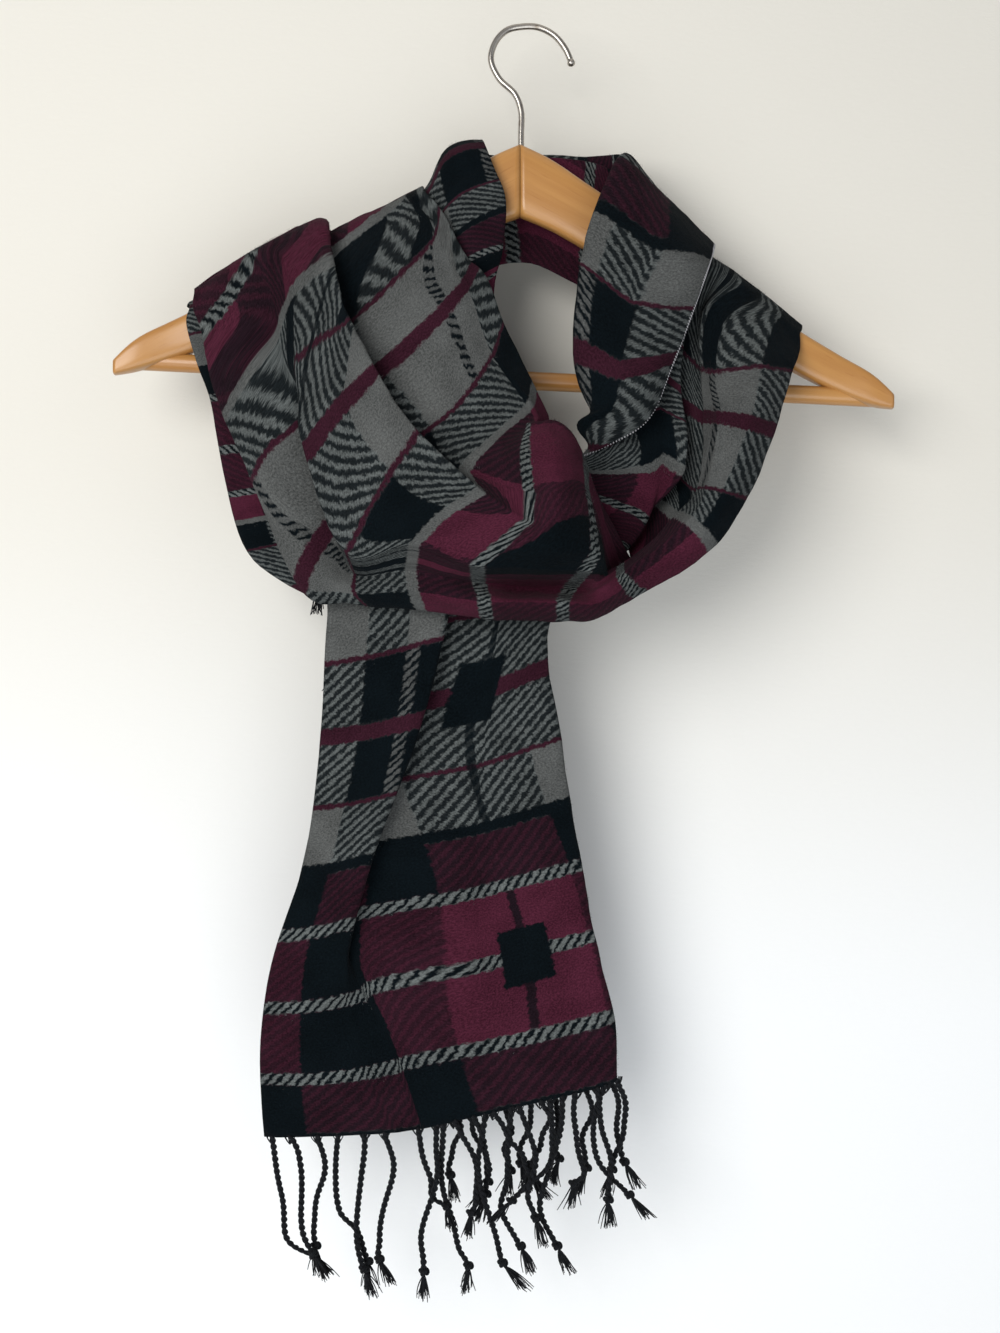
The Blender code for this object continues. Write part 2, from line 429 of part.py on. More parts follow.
def fringe(name, edge, strands, paint, group):
    """Builds a backing strip along an edge and draws one four-sided strand from each place."""
    edge = np.asarray(edge, float) - [0.0, 0.0, BACKING_GAP]
    if edge[0, 0] > edge[-1, 0]:
        edge, strands = edge[::-1], [(1.0 - row[0], *row[1:]) for row in strands]
    length = np.concatenate([[0], np.cumsum(np.linalg.norm(np.diff(edge, axis=0), axis=1))])
    half = STRAND_RADIUS / length[-1]
    strands = sorted(strands)
    places = np.array([side for row in strands for side in (row[0] - half, row[0] + half)])
    places = np.clip(places, 0.002, 0.998)
    top = np.stack([np.interp(places * length[-1], length, edge[:, k]) for k in range(3)], -1)
    side = np.array([0.0, STRAND_RADIUS, 0.0])
    drop = np.array([0.0, 0.0, BACKING_DROP])
    rings = np.stack([top - side, top - drop - side, top - drop + side, top + side], 1)
    points = rings.reshape(-1, 3).tolist()
    faces = [[0, 1, 2, 3], [len(points) - 1, len(points) - 2, len(points) - 3, len(points) - 4]]
    for i in range(len(top) - 1):
        a, b = 4 * i, 4 * i + 4
        faces += [[a, b, b + 1, a + 1], [a + 2, b + 2, b + 3, a + 3], [a + 3, b + 3, b, a]]
        if i % 2:
            faces.append([a + 1, b + 1, b + 2, a + 2])
    widths = (1.0, 1.0, 1.0, 1.0, 1.0, 1.0, KNOT_RADIUS / STRAND_RADIUS, 1.1, 1.5)
    for i, (place, end_x, end_z, sag, forward) in enumerate(strands):
        a, b = 8 * i, 8 * i + 4
        ring = [a + 1, b + 1, b + 2, a + 2]
        root = np.mean([points[k] for k in ring], axis=0)
        path = strand_path(root, np.array([end_x, root[1], end_z]), sag, forward, len(widths))
        for centre, wide in zip(path[1:], widths[1:]):
            r, n = STRAND_RADIUS * wide, len(points)
            points += [[centre[0] + x * r, centre[1] + y * r, centre[2]]
                       for x, y in ((-1, -1), (1, -1), (1, 1), (-1, 1))]
            new = [n, n + 1, n + 2, n + 3]
            faces += [[ring[k], ring[(k + 1) % 4], new[(k + 1) % 4], new[k]] for k in range(4)]
            ring = new
        faces.append(ring[::-1])
    return mesh_object(name, points, faces, paint, group)


def arm(name, side, paint, group):
    """Lofts one arm from its joint to its rounded tip; side is 0 for left and 1 for right."""
    sign = 1 if side else -1
    turn = np.linspace(0, 2 * math.pi, 20, endpoint=False) + math.pi / 20
    power = ARM_EDGE_ROUND * 1.6
    wave = np.stack([np.sign(np.cos(turn)) * abs(np.cos(turn))**power,
                     np.sign(np.sin(turn)) * abs(np.sin(turn))**power], -1)
    points, faces = [], []
    for i, row in enumerate(ARM_ROWS):
        away, top, height, forward = row[0], row[1 + side], row[3], row[4]
        away = max(away * ARM_REACH[side], JOINT_GAP / 2)
        thick = ARM_THICK * (1.0 if i < len(ARM_ROWS) - 1 else 0.6)
        for across, up in wave:
            points.append([sign * away, -forward + across * thick / 2,
                           top - height / 2 + up * height / 2])
    n = len(turn)
    for i in range(len(ARM_ROWS) - 1):
        for k in range(n):
            a, b = i * n + k, i * n + (k + 1) % n
            faces.append([a, b, b + n, a + n])
    faces += [list(range(n)), list(range(len(points) - n, len(points)))[::-1]]
    return mesh_object(name, points, faces, paint, group)


def tube(name, path, radius, sides, paint, group, end_swell=1.0):
    """Sweeps a round section along a path that lies in one upright plane."""
    path = np.asarray(path, float)
    ahead = np.gradient(path, axis=0)
    ahead /= np.linalg.norm(ahead, axis=1, keepdims=True)
    flat = np.cross(ahead, [0.0, 1.0, 0.0])
    turn = np.linspace(0, 2 * math.pi, sides, endpoint=False)
    radii = np.full(len(path), radius)
    radii[-3:] *= (end_swell, end_swell, 0.6 * end_swell)
    ring = (np.cos(turn)[None, :, None] * flat[:, None, :]
            + np.sin(turn)[None, :, None] * np.array([0.0, 1.0, 0.0]))
    points = (path[:, None, :] + ring * radii[:, None, None]).reshape(-1, 3)
    faces = []
    for i in range(len(path) - 1):
        for k in range(sides):
            a, b = i * sides + k, i * sides + (k + 1) % sides
            faces.append([a, b, b + sides, a + sides])
    faces += [list(range(sides)), list(range(len(points) - sides, len(points)))[::-1]]
    return mesh_object(name, points, faces, paint, group)


def hide_cutter(cutter):
    """Keeps a cutting body out of the picture."""
    cutter.hide_render = True
    cutter.display_type = "WIRE"
    return cutter


def cut(target, cutter):
    """Takes a cutter out of a body."""
    change = target.modifiers.new("cut_" + cutter.name, "BOOLEAN")
    change.operation = "DIFFERENCE"
    change.solver = "EXACT"
    change.object = cutter


def build_hanger(group, cutters):
    """Builds the two arms, the round rail let into them and the steel hook."""
    beech = material("beech", (0.68, 0.42, 0.20), 0.35)
    steel = material("steel", (0.62, 0.60, 0.58), 0.25, 1.0)
    arms = [arm("hanger_arm_left", 0, beech, group), arm("hanger_arm_right", 1, beech, group)]
    ends = np.array([[x, 0.0, z] for x, z in RAIL_ENDS])
    places = np.linspace(0, 1, 9)[:, None]
    tube("hanger_rail", ends[0] * (1 - places) + ends[1] * places, RAIL_RADIUS, 20, beech, group)
    over = (ends[1] - ends[0]) / np.linalg.norm(ends[1] - ends[0]) * RAIL_CLEARANCE
    longer = (ends[0] - over) * (1 - places) + (ends[1] + over) * places
    socket = hide_cutter(tube("cut_rail", longer, RAIL_RADIUS + RAIL_CLEARANCE, CUTTER_SIDES,
                              beech, cutters))
    wire = np.array([[x, 0.0, z] for x, z in HOOK_LINE])
    knots = chord_knots(wire, 0.5)
    line = through(wire, knots, np.linspace(0, len(wire) - 1, 3 * (len(wire) - 1) + 1))
    tube("hook", line, WIRE_RADIUS, 9, steel, group, 1.25)
    stem = [[wire[0][0], 0.0, HOOK_SOCKET_BOTTOM], [wire[0][0], 0.0, -70.0],
            [wire[0][0], 0.0, -60.0], [wire[0][0], 0.0, -50.0]]
    bore = hide_cutter(tube("cut_hook", stem, WIRE_RADIUS + WIRE_CLEARANCE, CUTTER_SIDES,
                            steel, cutters))
    for body in arms:
        cut(body, socket)
        cut(body, bore)


def build_cloth(group):
    """Builds the stretches of the scarf that lie one over the other, and the two fringes."""
    cloth = material("brushed_silk", (0.05, 0.03, 0.04), 0.9)
    yarn = material("fringe_yarn", (0.01, 0.01, 0.012), 0.8)
    loop = (LOOP_ROWS, LOOP_COLUMNS, LOOP_FOLDS)
    under = (UNDER_ROWS, UNDER_COLUMNS, UNDER_FOLDS)
    run = (RUN_ROWS, RUN_COLUMNS, RUN_FOLDS)
    shoulder, front = "shoulder", "front"
    stretch("left_panel", loop, "left crest", "left panel 6", cloth, group, (2, 2), (shoulder, front))
    stretch("cowl", loop, "left panel 6", "bottom 6", cloth, group, (2, 3), (front, front))
    stretch("right_side", loop, "bottom 6", "right crest", cloth, group, (2, 2), (front, shoulder))
    stretch("neck_inner", under, "right crest", "left crest", cloth, group, (3, 2),
            (shoulder, shoulder))
    end = stretch("under_end", under, "left crest", "hidden end 6", cloth, group, (3, 2), (shoulder, None))
    stretch("neck_outer", run, "left crest", "right crest", cloth, group, (2, 2),
            (shoulder, shoulder))
    stretch("right_flap", run, "right crest", "tail 1", cloth, group, (2, 2), (shoulder, front))
    tail = stretch("tail", run, "tail 1", "tail 7", cloth, group, (2, 2), (front, None))
    turn = tail.shape[1] - 4
    fringe("fringe_tail", tail[-1, :turn], FRINGE_TAIL, yarn, group)
    fringe("fringe_turned", tail[-1, turn + 1:], FRINGE_TURNED, yarn, group)
    fringe("fringe_hidden", end[-1], FRINGE_HIDDEN, yarn, group)


def main():
    """Builds the hanger, the scarf and its fringes."""
    clear_scene()
    cutters = collection("cutters")
    build_hanger(collection("hanger"), cutters)
    build_cloth(collection("scarf"))


main()
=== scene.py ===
"""Dresses the plaid scarf on its wooden coat hanger.

Metres, +Z up, the front faces -Y and the origin is the inside top of the hook.  The tables are
in millimetres.  The scarf is one long woven strip.  Three tables follow it along its length,
as the solids do, and every row is one section across the strip.
"""
from __future__ import annotations

import logging
import math
from dataclasses import dataclass, field
from enum import Enum

import bpy
import numpy as np
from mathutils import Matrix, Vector

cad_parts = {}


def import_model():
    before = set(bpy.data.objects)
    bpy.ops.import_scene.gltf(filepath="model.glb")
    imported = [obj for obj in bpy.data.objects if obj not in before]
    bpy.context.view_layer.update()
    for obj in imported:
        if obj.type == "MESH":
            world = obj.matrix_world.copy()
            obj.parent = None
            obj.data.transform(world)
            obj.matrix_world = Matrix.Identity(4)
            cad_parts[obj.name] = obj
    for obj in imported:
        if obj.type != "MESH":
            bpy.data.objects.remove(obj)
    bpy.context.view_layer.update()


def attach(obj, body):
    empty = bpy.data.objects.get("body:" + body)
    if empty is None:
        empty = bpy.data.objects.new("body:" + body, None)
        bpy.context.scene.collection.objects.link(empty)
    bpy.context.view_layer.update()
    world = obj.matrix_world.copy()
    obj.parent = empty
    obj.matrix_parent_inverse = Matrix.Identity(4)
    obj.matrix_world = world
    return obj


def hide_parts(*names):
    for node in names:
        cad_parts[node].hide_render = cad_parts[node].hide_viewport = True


LOG = logging.getLogger("scarf")
MM = 0.001
ROOT = "root"

# cloth, in millimetres
WALL = 1.35
FOLD_RADIUS = 2.0
CLOTH_WIDTH = 300.0
MIDDLE = CLOTH_WIDTH / 2

# The plaid, lengthwise from the middle of a wine band to the middle of a rope; it mirrors there.
HALF_REPEAT = 167.5
WINE_BAND = (-9.0, 5.0)
GREY_ROW = (5.0, 41.0)
WINE_LINE = (41.0, 44.0)
SQUARE_ROW = (44.0, 78.0)
LINE = (78.0, 85.0)
WINE_ROW = (85.0, 117.0)
ROPE = (117.0, 125.0)
BRIGHT_ROW = (125.0, 163.5)
MIDDLE_ROPE = (163.5, 180.0)
# The plaid across, from either selvedge to the middle.
OUTER_COLUMN = 22.0
SECOND_COLUMN = 86.0
THIRD_COLUMN = 116.0
COLUMN_ROPE = (44.0, 51.5)
PATCH = (44.0, 61.0)  # solid in two of the four square fields round each wine band
MIDDLE_LINE = 147.8
SQUARE = (17.0, 13.0)  # half of the black squares on the middle line, along and across
TWILL = 6.6  # from one diagonal to the next, along the cloth

# The loop, from the left shoulder down the front, across the bottom and up to the right shoulder.
# Columns: lower edge, its middle, middle tuck, middle fold, between, main fold, main tuck,
# inner middle, inner edge, turned-in edge.  Each is x, y, z in millimetres.
LOOP_COLUMNS = ("edge", "edge_middle", "tuck", "fold", "between", "main_fold", "main_tuck",
                "inner_middle", "inner", "turned_in")
LOOP_FOLDS = ("tuck", "fold", "main_fold", "main_tuck", "inner")
LOOP_ROWS = {
    "left crest": ((-186, 0, -148.6), (-171.1, 0, -138.8), (-155, 0, -127.9), (-142.4, 0, -120.5),
        (-127.4, 0, -113), (-110.8, 0, -109.6), (-124, 0, -119.9), (-88.4, 0, -106.1), (-63.2, 0, -94.1),
        (-55.7, 0, -90.1)),
    "front lip": ((-183.9, -12, -153.5), (-168.1, -12, -144.5), (-152.3, -12, -133.8),
        (-139.8, -12.5, -126.6), (-124.9, -14, -120.2), (-108, -18, -118.1), (-122.1, -13.5, -127.4),
        (-86.7, -12, -112.8), (-61.8, -12.5, -100.6), (-54.4, -14, -97.1)),
    "left panel 1": ((-183.9, -15, -162.8), (-162.6, -20, -154), (-144.7, -20, -143.9),
        (-132.2, -21, -137.5), (-119.5, -24, -131.7), (-106.3, -27, -129.8), (-122.2, -16.5, -137.9),
        (-81.7, -17, -119.5), (-56.4, -18, -107.5), (-48.5, -19, -104.4)),
    "left panel 2": ((-178.1, -21, -177.8), (-155.1, -30, -174.4), (-135.8, -30, -166.7),
        (-126.1, -32, -160.6), (-114.6, -36, -151.8), (-102.7, -39, -145.5), (-119.7, -23, -150.4),
        (-77.2, -24, -130), (-49.4, -23, -116.4), (-42.3, -20, -113.7)),
    "left panel 3": ((-170.1, -27, -211.4), (-148.5, -36, -203.3), (-129, -35, -199.2),
        (-122.2, -40, -193.2), (-110.1, -45, -177), (-97.3, -48, -165.4), (-115.6, -28, -170),
        (-72.2, -31, -146), (-44.7, -29, -131.6), (-36, -24, -127.3)),
    "left panel 4": ((-151.1, -34, -254.5), (-137.7, -42, -247), (-109.3, -34, -229.2),
        (-120.4, -45, -223.1), (-105.5, -51, -201.1), (-90.6, -55, -183.8), (-109.5, -33, -191.6),
        (-65.1, -38, -164.3), (-37.9, -33, -144.9), (-29.3, -26, -138.4)),
    "left panel 5": ((-120.2, -46, -322.3), (-112.7, -50, -305.3), (-96, -40, -278.3),
        (-115.8, -51, -250), (-98.9, -57, -226.9), (-78.8, -61, -205.4), (-97.3, -38, -214.6),
        (-52.2, -43, -183), (-27.9, -37, -159.7), (-19.8, -29, -149.8)),
    "left panel 6": ((-91.1, -50, -331.1), (-94.4, -55, -323.8), (-91.1, -50, -313.9),
        (-93.4, -59, -303.9), (-82.2, -65, -276.9), (-61.4, -68, -234.2), (-78.7, -45, -244.7),
        (-38.4, -50, -221.3), (-14.8, -45, -194.4), (-7.7, -36, -181.4)),
    "bottom 1": ((-50.4, -57, -335.1), (-54.7, -65, -325.4), (-57.8, -66, -313.9), (-56.4, -72, -301.3),
        (-46.8, -77, -286.1), (-28.5, -80, -268.4), (-43.7, -52, -255), (-15.8, -58, -243.1),
        (8.1, -60, -231.7), (15, -46, -233.5)),
    "bottom 2": ((-18.4, -60, -339), (-19.8, -73, -331.1), (-23.6, -64, -320.6), (-23.9, -80, -312.3),
        (-13, -88, -302.7), (1.2, -91, -290.7), (1.9, -82, -274.8), (0.8, -84, -256.1),
        (3.5, -78, -239.1), (5, -56, -247.6)),
    "bottom 3": ((4.4, -60, -340.6), (3.1, -74, -331.7), (1.4, -52, -322.6), (4.9, -84, -314.7),
        (11.3, -93, -305.6), (15.2, -98, -293), (16.7, -97, -276.7), (16.9, -93, -257.5),
        (16.4, -80, -237.9), (18.4, -57, -247.7)),
    "bottom 4": ((24.6, -60, -340.6), (22.9, -74, -332.2), (27, -54, -323.8), (33.1, -78, -315.3),
        (36.8, -84, -306.4), (35.8, -84, -293.1), (33.3, -82, -277.4), (30.3, -80, -261.2),
        (27.6, -73, -246.6), (27.9, -58, -253.7)),
    "bottom 5": ((43.2, -60, -337.4), (42.4, -71, -331), (42.8, -72, -323.7), (44.9, -66, -315),
        (48.8, -56, -323.4), (51.6, -48, -328.8), (53.8, -42, -323.1), (55.1, -39, -317.5),
        (57.5, -37, -311.9), (60.9, -36, -307.4)),
    "bottom 6": ((65.7, -58, -325.1), (60.7, -66, -319.7), (57, -66, -313.4), (58.8, -58, -307.5),
        (63.7, -51, -315.6), (67.8, -43, -319.9), (71.2, -37, -313), (72.3, -32, -304.9),
        (68.2, -26, -297.2), (58.6, -20, -292.8)),
    "right side 1": ((104.7, -50, -299.3), (98.3, -57, -292.5), (90.9, -57, -286.1), (85.7, -47, -281.8),
        (93.3, -39, -286.9), (95.4, -32, -288.4), (86.2, -26, -278.9), (77.9, -21, -271.7),
        (68.8, -17, -265.6), (60.7, -14, -262.9)),
    "right side 2": ((121.4, -50, -273.5), (109.4, -58, -271.3), (99.7, -55, -268.8), (96.4, -44, -267.9),
        (101.9, -33, -270.3), (94, -26, -264.5), (84.6, -21, -254.9), (73.9, -17, -247.6),
        (62.8, -15, -241.7), (54, -13, -239.1)),
    "right side 3": ((136.7, -46, -238.4), (120, -55, -235.1), (105.7, -51, -231.7), (100.3, -40, -229.2),
        (104, -30, -230.7), (95.4, -24, -223), (84.9, -19, -215.4), (72.9, -15.5, -208),
        (60.7, -14, -202), (50.6, -13, -198.4)),
    "right side 4": ((149.7, -28, -203.3), (128.8, -39, -203.9), (104.6, -37, -206.2),
        (100.4, -28, -202.7), (102.5, -21, -203.5), (95.1, -18, -195), (84.3, -15, -184.2),
        (73.2, -13, -175.8), (60.9, -12, -166.5), (51.9, -11.5, -163)),
    "right side 5": ((158.1, -12, -185.2), (138.7, -19, -175), (113.5, -22, -170.2), (102.8, -19, -166.6),
        (102.6, -13, -164.5), (93.8, -11, -157.2), (84.2, -10.5, -149.7), (74.1, -10, -141.7),
        (63.9, -10, -133.7), (54.3, -10, -126.4)),
    "right lip": ((159, -8, -175.2), (146.8, -9, -165.2), (133.7, -9.5, -154.6), (121.8, -9.5, -146.6),
        (113.9, -9, -140.3), (104.9, -8.5, -133.9), (95.8, -8.5, -127.6), (85.6, -8.5, -120.8),
        (76, -8.5, -114.6), (67.4, -8.5, -108.9)),
    "right crest": ((161.3, 0, -169.8), (149.2, 0, -159.5), (136, 0, -148.6), (124, 0, -140),
        (115.9, 0, -134.3), (106.7, 0, -127.4), (97.6, 0, -121.1), (87.2, 0, -114.2), (77.5, 0, -107.8),
        (68.9, 0, -102.1)),
}

# The strip under the loop, from the right shoulder behind the neck to the hidden end.
# Columns: lower edge, four points across, neck edge.
UNDER_COLUMNS = ("edge", "outer_fold", "outer_middle", "inner_middle", "inner_fold", "neck")
UNDER_FOLDS = ()
UNDER_ROWS = {
    "right crest": ((161.3, 0, -169.8), (136, 0, -148.6), (115.9, 0, -134.3), (97.6, 0, -121.1),
        (83.2, 0, -111.9), (68.9, 0, -102.1)),
    "right back lip": ((162.5, 8.5, -171.2), (137, 8.5, -149.8), (116.7, 8.5, -135.3),
        (98.1, 8.5, -122.5), (83.6, 8.5, -112.7), (69.7, 8.5, -102.2)),
    "right back": ((155.5, 14, -183.4), (128.8, 15, -169.1), (108.7, 13, -153.3), (92.3, 12.5, -133.6),
        (80.6, 12, -114.5), (68.3, 12, -95.8)),
    "behind neck 1": ((100, 18, -180.1), (86.7, 15, -160.9), (76.1, 14, -141.3), (67.8, 13, -120.6),
        (63.1, 12, -99.9), (59.5, 11, -81.6)),
    "behind neck 2": ((32.9, 14, -141.3), (31.8, 15, -128.2), (32.3, 14, -114.4), (34, 13, -100.8),
        (35.2, 13, -84.4), (36.3, 12, -70.8)),
    "behind neck 3": ((-11.5, 14, -130.2), (-11.5, 15, -118.8), (-13.3, 14, -106.3), (-15, 13, -93.8),
        (-16.7, 13, -79.8), (-18.5, 12, -67.3)),
    "behind neck 4": ((-81.8, 17, -167.5), (-71.1, 15, -149.2), (-61.7, 13, -131.1), (-50, 12.5, -107.9),
        (-35.4, 13, -84.4), (-20.8, 12, -64.4)),
    "left back lip": ((-190.8, 8.5, -157.3), (-160, 8.5, -144.6), (-110.1, 8.5, -119.6),
        (-55.6, 8.5, -93.5), (-39.4, 10, -71.5), (-21.4, 9.5, -63)),
    "left crest": ((-189.4, 0, -156.1), (-159, 0, -142.9), (-109.1, 0, -118.8), (-55.1, 0, -92.6),
        (-41.3, 0, -67.7), (-21.8, 0, -63.1)),
    "left front lip": ((-187.5, -8.5, -161.1), (-157.5, -8.5, -148.6), (-108, -8.5, -124.2),
        (-54.7, -8.5, -98.7), (-39.8, -10.5, -75.5), (-20, -10, -70.3)),
    "hidden end 1": ((-189, -9.5, -169.3), (-153.2, -10, -159.2), (-106.7, -10, -136.6),
        (-54.6, -10.5, -111.2), (-37.4, -14, -92.6), (-14.9, -13, -84.4)),
    "hidden end 2": ((-182.8, -12, -192), (-145.7, -14, -183.4), (-103.7, -12, -160.3),
        (-54.5, -12, -133.8), (-30.6, -17, -112.8), (-8.7, -14, -101.6)),
    "hidden end 3": ((-174.5, -14, -215), (-137.7, -18, -209.6), (-101.7, -14, -187.4),
        (-63.4, -14, -163.7), (-28.3, -20, -138.3), (-10.4, -14, -129.8)),
    "hidden end 4": ((-166.4, -15, -257.4), (-131.8, -20, -250.3), (-98.7, -16, -226.1),
        (-60.9, -18, -195.6), (-31.1, -18, -167.5), (-14.9, -15, -151.5)),
    "hidden end 5": ((-149.1, -17, -305.4), (-120.4, -22, -298.6), (-94.5, -18, -285.3),
        (-61.7, -22, -260.6), (-33.9, -18, -232), (-17.1, -17, -215)),
    "hidden end 6": ((-115.7, -19, -326.3), (-103.5, -23, -321), (-87.1, -19, -306.7), (-66.1, -23, -292),
        (-45.1, -19, -274.2), (-23.8, -18, -254.5)),
}

# The outer strip, from the left shoulder behind the neck, down the right flap and out as the tail.
# Columns: hanging selvedge, front middle, front fold, neck fold or tuck, middle, right fold,
# turned-under selvedge.
RUN_COLUMNS = ("selvedge", "front_middle", "front_fold", "tuck", "middle", "right_fold", "under")
RUN_FOLDS = ("front_fold", "tuck", "middle", "right_fold")
RUN_ROWS = {
    "left crest": ((-186, 0, -148.6), (-156.1, 0, -129.1), (-127.4, 0, -113), (-110.8, 0, -109.6),
        (-124, 0, -119.9), (-88.4, 0, -106.1), (-55.7, 0, -90.1)),
    "left back lip": ((-188.1, 12.5, -148.1), (-157.8, 12.5, -128.3), (-128.9, 14, -112.1),
        (-113, 18, -107.3), (-125.3, 13.5, -119.3), (-89, 12.5, -105), (-55.8, 12.5, -88.7)),
    "neck 1": ((-168, 26, -178.3), (-136.7, 31, -159.3), (-112.9, 31, -136.6), (-91.2, 29, -117),
        (-104.6, 21, -134.7), (-77.3, 19, -114.1), (-51.4, 17, -92.4)),
    "neck 2": ((-85.7, 34, -184.9), (-69.2, 38, -155.2), (-57.1, 37, -126.6), (-41.4, 33, -89.5),
        (-53, 26, -119), (-44.5, 21, -109.9), (-36.2, 18, -99.1)),
    "neck 3": ((-13.3, 34, -122.7), (-12.1, 37, -102.6), (-10.3, 36, -83.7), (-8.5, 31, -62.7),
        (-9.7, 25, -88.6), (-10.9, 22, -104.9), (-12.1, 19, -120)),
    "neck 4": ((36.4, 34, -134.6), (37.7, 36, -108.9), (41.2, 34, -84.4), (44.3, 28, -62.6),
        (40.4, 22, -88.4), (37.9, 20, -110.2), (36.7, 19, -127)),
    "neck 5": ((102.2, 34, -160.9), (86.8, 35, -122.4), (68.3, 30, -86.9), (58.3, 24, -62.9),
        (66.1, 19, -94.1), (76.6, 18.5, -114.2), (89.6, 19, -138.8)),
    "right back lip": ((112.7, 13, -123.5), (99.6, 15, -109.5), (82.2, 16, -91), (59.7, 13, -68.1),
        (70.1, 12.5, -94.5), (86.4, 12.5, -106.7), (103.9, 12.5, -120.2)),
    "right crest": ((110.8, 0, -123.3), (97.6, 0, -109.6), (80.3, 0, -92.4), (59.7, 0, -70.5),
        (68.9, 0, -94.6), (84.9, 0, -106.1), (102.2, 0, -119.9)),
    "right front lip": ((108.2, -13, -131.2), (95, -15, -118.3), (78.5, -16, -101.7), (55.7, -13, -78.7),
        (66.5, -12, -102.7), (82.9, -12, -114.5), (99.8, -12.5, -127.7)),
    "flap 1": ((103.2, -24, -145.1), (93.6, -29, -136.5), (78.9, -32, -125.3), (48.9, -20, -91.3),
        (61.6, -16, -116.4), (79.6, -16, -131.6), (96.4, -17, -149.8)),
    "flap 2": ((94.3, -32, -169.4), (82.5, -38, -165.4), (64.6, -42, -157.8), (36.7, -28, -127.4),
        (52.9, -20, -143.9), (73.6, -20, -159.6), (92.3, -22, -173.5)),
    "flap 3": ((82, -38, -201), (71.8, -46, -198.9), (55.8, -50, -193.3), (30.7, -36, -161.6),
        (50.7, -26, -180.6), (75.2, -25, -195.4), (88.1, -29, -207.3)),
    "flap 4": ((66.3, -42, -232.8), (58.5, -49, -230.8), (47.6, -51, -225.8), (32.1, -40, -211.8),
        (55.8, -31, -222.1), (78.1, -29, -231.7), (91.4, -33, -237.9)),
    "flap 5": ((46.2, -41, -244.6), (39.5, -44, -240.2), (31.1, -39, -233.4), (46.9, -32.5, -232.3),
        (63.5, -31, -237), (78, -30, -242.9), (90.7, -34, -249.6)),
    "flap 6": ((31.2, -37, -250.6), (35, -38, -248.5), (40, -37, -246.2), (48.9, -35, -245.3),
        (63.3, -33, -247.8), (77.8, -32, -253.1), (88.5, -34, -260)),
    "under cowl": ((-28, -33, -279.7), (-12.6, -36, -277.8), (3.8, -37, -275.8), (23.7, -34, -276.5),
        (44.6, -33, -281.9), (65.4, -34, -291.9), (48.4, -27, -295.7)),
    "tail 1": ((-102.2, -34, -316.1), (-70.4, -40, -315.4), (-37.6, -42, -313.3), (-63.8, -33, -316),
        (-8.8, -36, -318.4), (30.2, -35, -322.7), (-20.4, -28, -325.7)),
    "tail 2": ((-105.8, -36, -340.3), (-73.4, -43, -341.6), (-40.8, -45, -340.6), (-67.5, -35, -342.5),
        (-11.5, -38, -342.6), (14.8, -37, -342.6), (-39.1, -30, -344.6)),
    "tail 3": ((-109.6, -36, -405), (-83.2, -43, -405.2), (-56.5, -45, -402.9), (-92.8, -34.5, -405.1),
        (-18.1, -38, -404.9), (21.4, -36, -405), (-41.4, -29, -406.5)),
    "tail 4": ((-119.9, -33, -475.6), (-100.9, -40, -475.7), (-82.7, -42, -474.3), (-103, -32, -478),
        (-24.7, -36, -476.3), (33, -34, -474.9), (-42.6, -27, -478.7)),
    "tail 5": ((-137.3, -31, -529.4), (-114.7, -35, -529.1), (-95.4, -36, -527.8), (-93.2, -31, -531.1),
        (-22.5, -34, -524.9), (41.4, -32, -520.9), (-43.7, -26, -528.8)),
    "tail 6": ((-143.5, -30, -577.7), (-113.4, -32, -579.4), (-87.4, -33, -578), (-71.1, -31, -577.4),
        (-11.5, -32, -570.5), (51.5, -30, -561.1), (-42.6, -25, -573.5)),
    "tail 7": ((-141.7, -28, -625.3), (-105.4, -30, -624.1), (-67.9, -30, -621.9), (-55.7, -30, -620.2),
        (-8.7, -30, -609.7), (52.8, -28, -593.8), (-39.3, -24, -615)),
}

